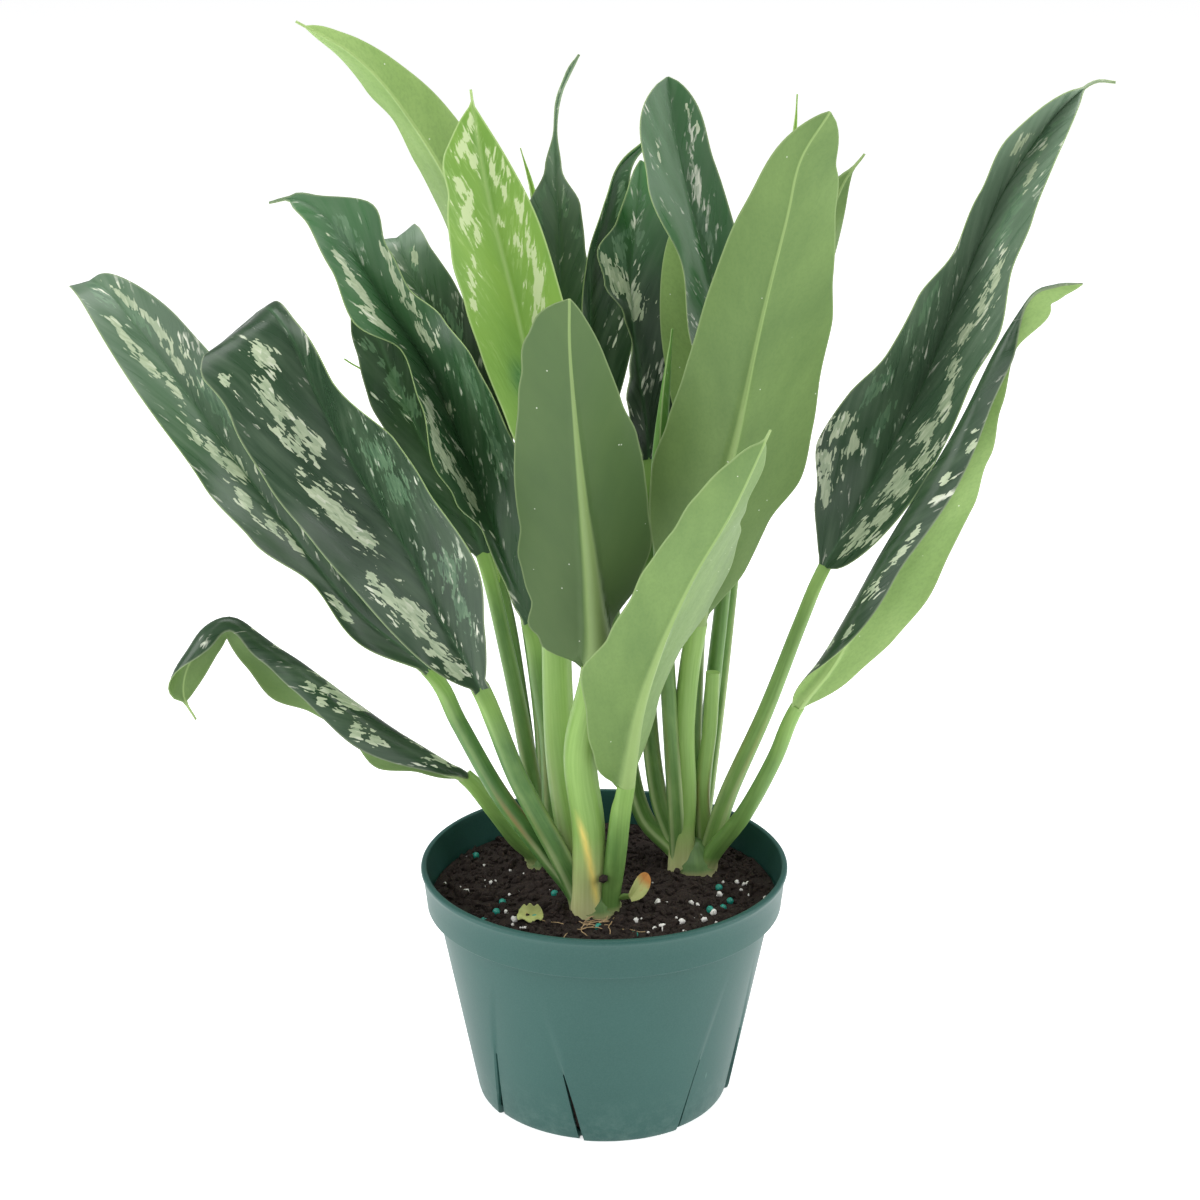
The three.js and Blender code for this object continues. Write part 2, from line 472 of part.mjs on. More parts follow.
// Rolled young leaves: a stalk, then a closed roll that ends in a point.
const SPEARS = [
  {
    name: 'rolled_leaf_middle', shoot: 'right', radius: 4.4,
    stalk: [[29, 17, 182]],
    blade: [[25, 16, 250], [24, 16, 289], [26, 16, 321], [29, 16, 352]], stalkRadius: [4.2, 3.4],
  },
  {
    name: 'rolled_leaf_back_right', shoot: 'right', radius: 3.4,
    stalk: [[53, 56, 169], [63, 74, 261]],
    blade: [[74, 82, 338], [80, 83, 383], [84, 84, 423], [85, 86, 441]], stalkRadius: [4, 3],
  },
  {
    name: 'rolled_leaf_back', shoot: 'left', radius: 3.2,
    stalk: [[-28, 76, 190], [-27, 98, 270]],
    blade: [[-27, 110, 330], [-29, 114, 360], [-32, 116, 389], [-38, 116, 412]], stalkRadius: [4, 2.8],
  },
  {
    name: 'rolled_leaf_left', shoot: 'left', radius: 3.4,
    stalk: [[-38, 46, 170]],
    blade: [[-48, 54, 225], [-69, 58, 269], [-98, 62, 313], [-116, 63, 327]], stalkRadius: [4, 3],
  },
];

// A stalk whose blade was cut off long ago.
const CUT_STALK = {
  shoot: 'right', stalk: [[45, 28, 134], [48, 29, 163], [49, 30, 190]], stalkRadius: [4, 3.2],
};

const vector = ([x, y, z]) => new THREE.Vector3(x, y, z);

function curveThrough(points) {
  const curve = new THREE.CatmullRomCurve3(points.map(vector), false, 'catmullrom', 0.5);
  curve.arcLengthDivisions = 400;
  return curve;
}

const evenShares = (from, to, steps) => (
  Array.from({ length: steps + 1 }, (_, i) => THREE.MathUtils.lerp(from, to, i / steps))
);

// Points, forward directions and upper-side directions at some shares of a curve's length.
function stationsAlong(curve, shares, face) {
  const stations = shares.map((u) => ({ point: curve.getPointAt(u), forward: curve.getTangentAt(u) }));
  const middle = Math.floor(shares.length / 2);
  const carry = (normal, forward) => (
    normal.clone().addScaledVector(forward, -normal.dot(forward)).normalize()
  );
  stations[middle].up = carry(face.clone().normalize(), stations[middle].forward);
  for (let i = middle + 1; i < shares.length; i += 1) {
    stations[i].up = carry(stations[i - 1].up, stations[i].forward);
  }
  for (let i = middle - 1; i >= 0; i -= 1) stations[i].up = carry(stations[i + 1].up, stations[i].forward);
  return stations;
}

// The value at share t of the way through a list of values at even steps, eased between them.
function along(values, t) {
  if (!Array.isArray(values)) return values;
  const step = Math.min(Math.floor(t * (values.length - 1)), values.length - 2);
  const share = t * (values.length - 1) - step;
  return THREE.MathUtils.lerp(values[step], values[step + 1], share * share * (3 - 2 * share));
}

// Half width of a blade at share t of its length.
function halfWidth(leaf, t, fullness) {
  const body = Math.min(t / (1 - leaf.drip), 1);
  const full = leaf.full ?? 1.5;
  const rise = full * leaf.widest;
  const fall = full * (1 - leaf.widest);
  const shape = (body / leaf.widest) ** rise * ((1 - body) / (1 - leaf.widest)) ** fall;
  const neck = leaf.stalkRadius[1] * Math.max(1 - 4 * t, 0);
  const tail = TIP_HALF_WIDTH + DRIP_HALF_WIDTH * (1 - t);
  return Math.max((leaf.width / 2) * shape * fullness, neck, tail);
}

// Place across one half of a blade, 0 at the midrib and 1 at the edge, as [out, up, slope].
function acrossHalf(fold, curl, share) {
  const start = THREE.MathUtils.degToRad(fold);
  const bend = THREE.MathUtils.degToRad(curl) || 1e-6;
  const end = start + bend * share;
  return [(Math.sin(end) - Math.sin(start)) / bend, (Math.cos(start) - Math.cos(end)) / bend, end];
}

function bladeGeometry(leaf, stations) {
  const shares = leaf.rolled ? ROLLED_SHARES : OPEN_SHARES;
  const rings = stations.map(({ point, forward, up }, i) => {
    const t = i / (stations.length - 1);
    const side = new THREE.Vector3().crossVectors(forward, up);
    const [height, waves, phase] = leaf.wave;
    const swell = height * Math.sin(Math.PI * t) ** 0.6;
    const rib = RIB_DEPTH_TIP + (leaf.stalkRadius[1] * RIB_DEPTH - RIB_DEPTH_TIP) * (1 - t) ** RIB_TAPER;
    const top = [];
    const bottom = [];
    const add = (sign, share) => {
      const [fold, curl, fullness = 1] = sign < 0 ? leaf.left : leaf.right;
      const half = halfWidth(leaf, t, along(fullness, t));
      const [out, rise, slope] = acrossHalf(along(fold, t), along(curl, t), share);
      const ripple = swell * share * share * Math.sin(2 * Math.PI * (waves * t + phase + 0.2 * sign));
      const middle = point.clone().addScaledVector(side, sign * half * out)
        .addScaledVector(up, half * rise + ripple);
      const outward = up.clone().multiplyScalar(share === 0 ? 1 : Math.cos(slope))
        .addScaledVector(side, share === 0 ? 0 : -sign * Math.sin(slope));
      top.push(middle.clone().addScaledVector(outward, BLADE_THICKNESS / 2));
      const depth = BLADE_THICKNESS / 2 + (share === 0 ? rib : 0);
      bottom.unshift(middle.clone().addScaledVector(outward, -depth));
    };
    for (const share of shares) add(-1, share);
    add(1, 0);
    for (const share of [...shares].reverse()) add(1, share);
    return [...bottom, ...top];
  });
  return skinRings(rings, 2 * shares.length + 1);
}

function tubeGeometry(stations, radii, sides) {
  const rings = stations.map(({ point, forward, up }, i) => {
    const radius = radii[i];
    const side = new THREE.Vector3().crossVectors(up, forward);
    return Array.from({ length: sides }, (_, j) => {
      const angle = (2 * Math.PI * j) / sides;
      return point.clone().addScaledVector(side, radius * Math.cos(angle))
        .addScaledVector(up, radius * Math.sin(angle));
    });
  });
  return skinRings(rings);
}

// Radius of a rolled leaf at share t of its length: a little waist, a body, and a long point.
const spearTaper = (t) => Math.max(Math.min(0.8 + t, 1) * (1 - t ** 2.2), 0.12);

// Share of a curve's length at which its blade starts.
function bladeStart(curve, blade) {
  const base = vector(blade[0]);
  let best = 0;
  for (let i = 1; i <= 400; i += 1) {
    if (curve.getPointAt(i / 400).distanceTo(base) < curve.getPointAt(best).distanceTo(base)) best = i / 400;
  }
  return best;
}

const STALK_FACE = new THREE.Vector3(0.1, -1, 0.1);

function stalkGeometry(curve, to, [rootRadius, endRadius]) {
  const length = curve.getLength();
  const root = STALK_ROOT / length;
  const steps = Math.max(2, Math.round(((to - root) * length) / STALK_STEP));
  const shares = [0, ...evenShares(root, to, steps)];
  const radii = shares.map((u) => endRadius + (rootRadius - endRadius) * (1 - u / to) ** 1.5);
  return tubeGeometry(stationsAlong(curve, shares, STALK_FACE), radii, STALK_SIDES);
}

// ---------------------------------------------------------------------------------------------
// Assembly
// ---------------------------------------------------------------------------------------------

const evergreen = new THREE.Group();

function addMesh(name, geometry, material) {
  const mesh = new THREE.Mesh(geometry, material);
  mesh.name = name;
  evergreen.add(mesh);
}

addMesh('pot', makePot(), matte('#4b736c', 0.55));
addMesh('soil', makeSoil(), matte('#2b1d19', 0.95));

const shootSolids = {};
for (const [shoot, { x, y, radius }] of Object.entries(SHOOTS)) {
  const foot = STEM_FOOT_SHAPE.map(([share, z]) => new THREE.Vector2(radius * share, STEM_FOOT + z));
  const top = STEM_TOP_SHAPE.map(([share, z]) => new THREE.Vector2(radius * share, SOIL_TOP + z));
  const stem = new THREE.LatheGeometry([...foot, ...top], STEM_SIDES);
  stem.rotateX(Math.PI / 2);
  stem.translate(x, y, 0);
  shootSolids[shoot] = toSolid(stem);
}

// Points of a stalk's curve from inside its stem, on the side that the stalk leans to.
function fullCurve({ shoot, stalk, stalkRadius, blade = [] }) {
  const { x, y, radius } = SHOOTS[shoot];
  const [[towardsX, towardsY]] = stalk;
  const angle = Math.atan2(towardsY - y, towardsX - x);
  const reach = radius - stalkRadius[0];
  const startX = x + reach * Math.cos(angle);
  const startY = y + reach * Math.sin(angle);
  const starts = STALK_STARTS.map((z) => [startX, startY, SOIL_TOP + z]);
  return curveThrough([...starts, ...stalk, ...blade]);
}

function growLeaf(leaf, steps, makeBlade) {
  const curve = fullCurve(leaf);
  const start = bladeStart(curve, leaf.blade);
  const stalk = toSolid(stalkGeometry(curve, start, leaf.stalkRadius));
  shootSolids[leaf.shoot] = shootSolids[leaf.shoot].add(stalk);
  const face = leaf.face ? vector(leaf.face) : STALK_FACE;
  const shares = evenShares(start + BLADE_GAP / curve.getLength(), 1, steps);
  const stations = stationsAlong(curve, shares, face);
  addMesh(leaf.name, makeBlade(stations), matte(leaf.colour ?? YOUNG_LEAF, 0.5));
}

for (const leaf of LEAVES) growLeaf(leaf, BLADE_STATIONS - 1, (stations) => bladeGeometry(leaf, stations));
for (const spear of SPEARS) {
  const steps = SPEAR_STATIONS - 1;
  const radii = evenShares(0, 1, steps).map((t) => spear.radius * spearTaper(t));
  growLeaf(spear, steps, (stations) => tubeGeometry(stations, radii, STALK_SIDES));
}

const scrapHeight = DRY_SCRAP.spotHeight + FIT_GAP + BLADE_THICKNESS;
const scrapCurve = curveThrough(DRY_SCRAP.line.map(([x, y]) => [x, y, scrapHeight]));
const scrapStations = stationsAlong(scrapCurve, evenShares(0, 1, 6), new THREE.Vector3(0, 0, 1));
addMesh('dry_leaf_scrap', bladeGeometry(DRY_SCRAP, scrapStations), matte(DRY_LEAF, 0.8));

const cutStalk = toSolid(stalkGeometry(fullCurve(CUT_STALK), 1, CUT_STALK.stalkRadius));
shootSolids[CUT_STALK.shoot] = shootSolids[CUT_STALK.shoot].add(cutStalk);

for (const [shoot, solid] of Object.entries(shootSolids)) {
  addMesh(`shoot_${shoot}`, toGeometry(solid), matte(STALK_GREEN, 0.55));
}

export default evergreen;
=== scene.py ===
# %% [markdown]
# # A potted Chinese evergreen
# Three leafy shoots stand in potting mix, in a green plastic nursery pot. The plain solids with the real
# sizes are packed already, and this lesson loads them as a fixed frame. Each step then lays a fine surface
# over one of them: blades with veins and a variegated upper side, grooved stalks, moulded plastic and
# crumbly soil. Lengths are in millimetres where nothing else is said, and each mesh is made in metres.

# %% Load the frame
import math

import bpy
import numpy as np
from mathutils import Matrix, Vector, noise


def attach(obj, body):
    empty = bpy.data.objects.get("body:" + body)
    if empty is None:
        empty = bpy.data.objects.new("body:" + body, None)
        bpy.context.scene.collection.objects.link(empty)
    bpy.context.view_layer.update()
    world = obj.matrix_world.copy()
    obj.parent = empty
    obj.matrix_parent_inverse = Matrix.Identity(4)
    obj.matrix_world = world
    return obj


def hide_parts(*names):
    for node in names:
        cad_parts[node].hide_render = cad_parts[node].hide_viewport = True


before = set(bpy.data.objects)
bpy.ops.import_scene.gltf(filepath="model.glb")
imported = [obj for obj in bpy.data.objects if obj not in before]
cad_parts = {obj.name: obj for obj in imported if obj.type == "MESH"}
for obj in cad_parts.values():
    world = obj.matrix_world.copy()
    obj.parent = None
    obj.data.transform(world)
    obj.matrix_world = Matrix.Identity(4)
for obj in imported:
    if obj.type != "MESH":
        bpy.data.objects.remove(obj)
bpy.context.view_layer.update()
MM = 0.001

# %% [markdown]
# ## Camera
# The photograph looks down a little on the plant from straight ahead, through a long lens. The pitch and
# the distance were worked out from the ellipse of the pot's rim, whose real width is known.

# %% Camera
VIEW_PITCH = math.radians(19.24)
VIEW_DISTANCE = 1200
VIEW_TARGET = Vector((-1.9, 0, 235))
VIEW_LENS = 82.65
VIEW_SENSOR = 36  # width of the film, to which the lens belongs

camera = bpy.data.objects.new("camera", bpy.data.cameras.new("camera"))
bpy.context.scene.collection.objects.link(camera)
camera.data.sensor_width = VIEW_SENSOR
camera.data.lens = VIEW_LENS
back = Vector((0, -math.cos(VIEW_PITCH), math.sin(VIEW_PITCH)))
camera.location = (VIEW_TARGET + back * VIEW_DISTANCE) * MM
camera.rotation_euler = (math.pi / 2 - VIEW_PITCH, 0, 0)
bpy.context.scene.camera = camera
bpy.context.scene.view_settings.view_transform = "Standard"
print("camera at", [round(v, 3) for v in camera.location])

# %% [markdown]
# ## Nodes and colours
# Every finish here is a small network of shader nodes. One function adds a node with its settings and
# links, and colours are written as the sRGB hex values that a paint program shows, then turned to the
# linear values that a renderer needs.

# %% Colour and node helpers
NODE_KINDS = {  # short name: Blender's type, its usual settings and its usual input values
    "bump": ("ShaderNodeBump", {}),
    "cells": ("ShaderNodeTexVoronoi", {"Scale": 1.0}),
    "math": ("ShaderNodeMath", {}),
    "mix": ("ShaderNodeMix", {"data_type": "RGBA"}),
    "noise": ("ShaderNodeTexNoise", {"Scale": 1.0, "Detail": 3.0}),
    "place": ("ShaderNodeTexCoord", {}),
    "range": ("ShaderNodeMapRange", {}),
    "ray": ("ShaderNodeLightPath", {}),
    "split": ("ShaderNodeSeparateXYZ", {}),
    "stored": ("ShaderNodeAttribute", {}),
    "stretch": ("ShaderNodeVectorMath", {"operation": "MULTIPLY"}),
    "waves": ("ShaderNodeTexWave", {"bands_direction": "Y"}),
}


def linear(hex_colour):
    """An sRGB hex colour as the linear colour that shaders take."""
    parts = [int(hex_colour[i:i + 2], 16) / 255 for i in (1, 3, 5)]
    return tuple(c / 12.92 if c <= 0.04045 else ((c + 0.055) / 1.055) ** 2.4 for c in parts) + (1.0,)


def connect(tree, value, socket):
    """Gives an input a number, a hex colour, an output, or the first output of a node."""
    if isinstance(value, bpy.types.Node):
        value = next(out for out in value.outputs if out.enabled)
    if isinstance(value, bpy.types.NodeSocket):
        tree.links.new(value, socket)
    else:
        socket.default_value = linear(value) if isinstance(value, str) else value


def add(tree, kind, *values, **named):
    """Adds a node. values are its inputs in order. Named ones with capitals are inputs, the rest settings."""
    node_type, usual = NODE_KINDS[kind]
    made = tree.nodes.new(node_type)
    named = {**usual, **named}
    for key in filter(str.islower, named):
        setattr(made, key, named[key])
    shown = [socket for socket in made.inputs if socket.enabled]
    for socket, value in zip(shown, values):
        connect(tree, value, socket)
    for key in filter(str.istitle, named):
        connect(tree, named[key], next(socket for socket in shown if socket.name == key.replace("_", " ")))
    return made


def painted(tree, colour, *coats):
    """A colour under coats of other colours, each given as how much of it there is and its colour."""
    for amount, coat in coats:
        colour = add(tree, "mix", amount, colour, coat)
    return colour


def new_material(name, **shader):
    """A material with a Principled shader whose plain values are set on its own sockets."""
    material = bpy.data.materials.new(name)
    material.use_nodes = True
    surface = material.node_tree.nodes["Principled BSDF"]
    for key, value in shader.items():
        surface.inputs[key.replace("_", " ").title().replace("Ior", "IOR")].default_value = value
    return material, material.node_tree, surface


def dress(tree, surface, colour, roughness=None, **relief):
    """Gives a shader its colour, its roughness where that varies, and its fine relief."""
    connect(tree, colour, surface.inputs["Base Color"])
    if roughness:
        connect(tree, roughness, surface.inputs["Roughness"])
    if relief:
        connect(tree, add(tree, "bump", **relief), surface.inputs["Normal"])


# %% [markdown]
# ## Light and floor
# The plant was shot high key: white all round and a light that comes in from both sides and above, so the
# sides of the pot are lighter than its front. A white world is seen behind, and it lights only weakly.
# Large area lights do the rest, because big soft sources give the broad grey sheen that waxy leaves have.
# The paper glows a little, so that it stays white behind the shadows.

# %% World and lights
WORLD_SEEN = 1.0
WORLD_LIGHT = 0.36

world = bpy.data.worlds.new("white_studio")
bpy.context.scene.world = world
world.use_nodes = True
tree = world.node_tree
background = tree.nodes["Background"]
connect(tree, "#ffffff", background.inputs["Color"])
ray = add(tree, "ray").outputs["Is Camera Ray"]
connect(tree, add(tree, "range", ray, 0, 1, WORLD_LIGHT, WORLD_SEEN), background.inputs["Strength"])

SOFTBOXES = {  # place and aim in metres, width and height in metres, watts
    "left_softbox": [(-1.7, -0.35, 0.95), (0, 0, 0.25), (1.2, 1.5), 20.5],
    "right_softbox": [(1.7, -0.25, 0.95), (0, 0, 0.25), (1.2, 1.5), 20.5],
    "top_softbox": [(0.0, 0.15, 1.9), (0, 0, 0.3), (1.5, 1.2), 20],
    "front_softbox": [(-0.55, -1.9, 1.3), (0, 0, 0.24), (1.2, 1.2), 9.5],
}
for name, (place, aim, (width, height), watts) in SOFTBOXES.items():
    light = bpy.data.lights.new(name, "AREA")
    light.shape = "RECTANGLE"
    light.size, light.size_y, light.energy = width, height, watts
    lamp = bpy.data.objects.new(name, light)
    lamp.location = place
    lamp.rotation_euler = (Vector(aim) - Vector(place)).to_track_quat("-Z", "Y").to_euler()
    bpy.context.scene.collection.objects.link(lamp)
print("lights:", ", ".join(SOFTBOXES))


# %% A mesh from points and faces
def make_object(name, points, faces, materials, face_material=None, fields=None, smooth=True, sharp=None):
    """A mesh object from points in millimetres. fields are named vectors or numbers, one for each point."""
    mesh = bpy.data.meshes.new(name)
    mesh.from_pydata((np.asarray(points) * MM).tolist(), [], [list(map(int, f)) for f in faces])
    for material in materials:
        mesh.materials.append(material)
    if face_material is not None:
        mesh.polygons.foreach_set("material_index", np.asarray(face_material, np.int32))
    for key, values in (fields or {}).items():
        values = np.asarray(values, np.float32)
        kind, slot = ("FLOAT_VECTOR", "vector") if values.ndim == 2 else ("FLOAT", "value")
        mesh.attributes.new(key, kind, "POINT").data.foreach_set(slot, values.ravel())
    mesh.polygons.foreach_set("use_smooth", [smooth] * len(mesh.polygons))
    if sharp is not None:
        mesh.set_sharp_from_angle(angle=math.radians(sharp))
    mesh.update()
    made = bpy.data.objects.new(name, mesh)
    bpy.context.scene.collection.objects.link(made)
    return made


# %% Joining and turning
def join_parts(parts):
    """Several skins as one list of points, faces and stored values."""
    shifts = np.cumsum([0, *(len(points) for points, _, _ in parts)])
    faces = [[i + shift for i in face] for shift, (_, more, _) in zip(shifts, parts) for face in more]
    fields = {key: np.vstack([values[key] for _, _, values in parts]) for key in parts[0][2]}
    return np.vstack([points for points, _, _ in parts]), faces, fields


def turned(name, foot, rings, top, material):
    """A closed body from rings of points, closed by a fan to one point at its foot and one at its top."""
    sides = len(rings[0])
    points = [foot, *[point for ring in rings for point in ring], top]
    after = [(j + 1) % sides for j in range(sides)]
    rows = range(1, len(points) - 1, sides)
    faces = [(0, 1 + after[j], 1 + j) for j in range(sides)]
    faces += [(row + j, row + after[j], row + sides + after[j], row + sides + j)
              for row in rows[:-1] for j in range(sides)]
    faces += [(len(points) - 1, rows[-1] + j, rows[-1] + after[j]) for j in range(sides)]
    return make_object(name, points, faces, [material])


# %% Floor
FLOOR_SIZE = 16000
PAPER_GLOW = 0.62
PAPER_GRAIN = 900.0  # cells of noise to a metre, so each is about 1.1 mm wide

corner = FLOOR_SIZE / 2
paper, tree, surface = new_material("matt_white_paper", roughness=0.9, emission_strength=PAPER_GLOW)
connect(tree, "#ffffff", surface.inputs["Emission Color"])
grain = add(tree, "noise", add(tree, "place").outputs["Object"], Scale=PAPER_GRAIN)
dress(tree, surface, add(tree, "mix", grain, "#f4f5f7", "#fcfcfc"))
corners = [(-corner, -corner, 0), (corner, -corner, 0), (corner, corner, 0), (-corner, corner, 0)]
floor = make_object("floor", corners, [(0, 1, 2, 3)], [paper])
print("floor:", FLOOR_SIZE, "mm of matt paper")
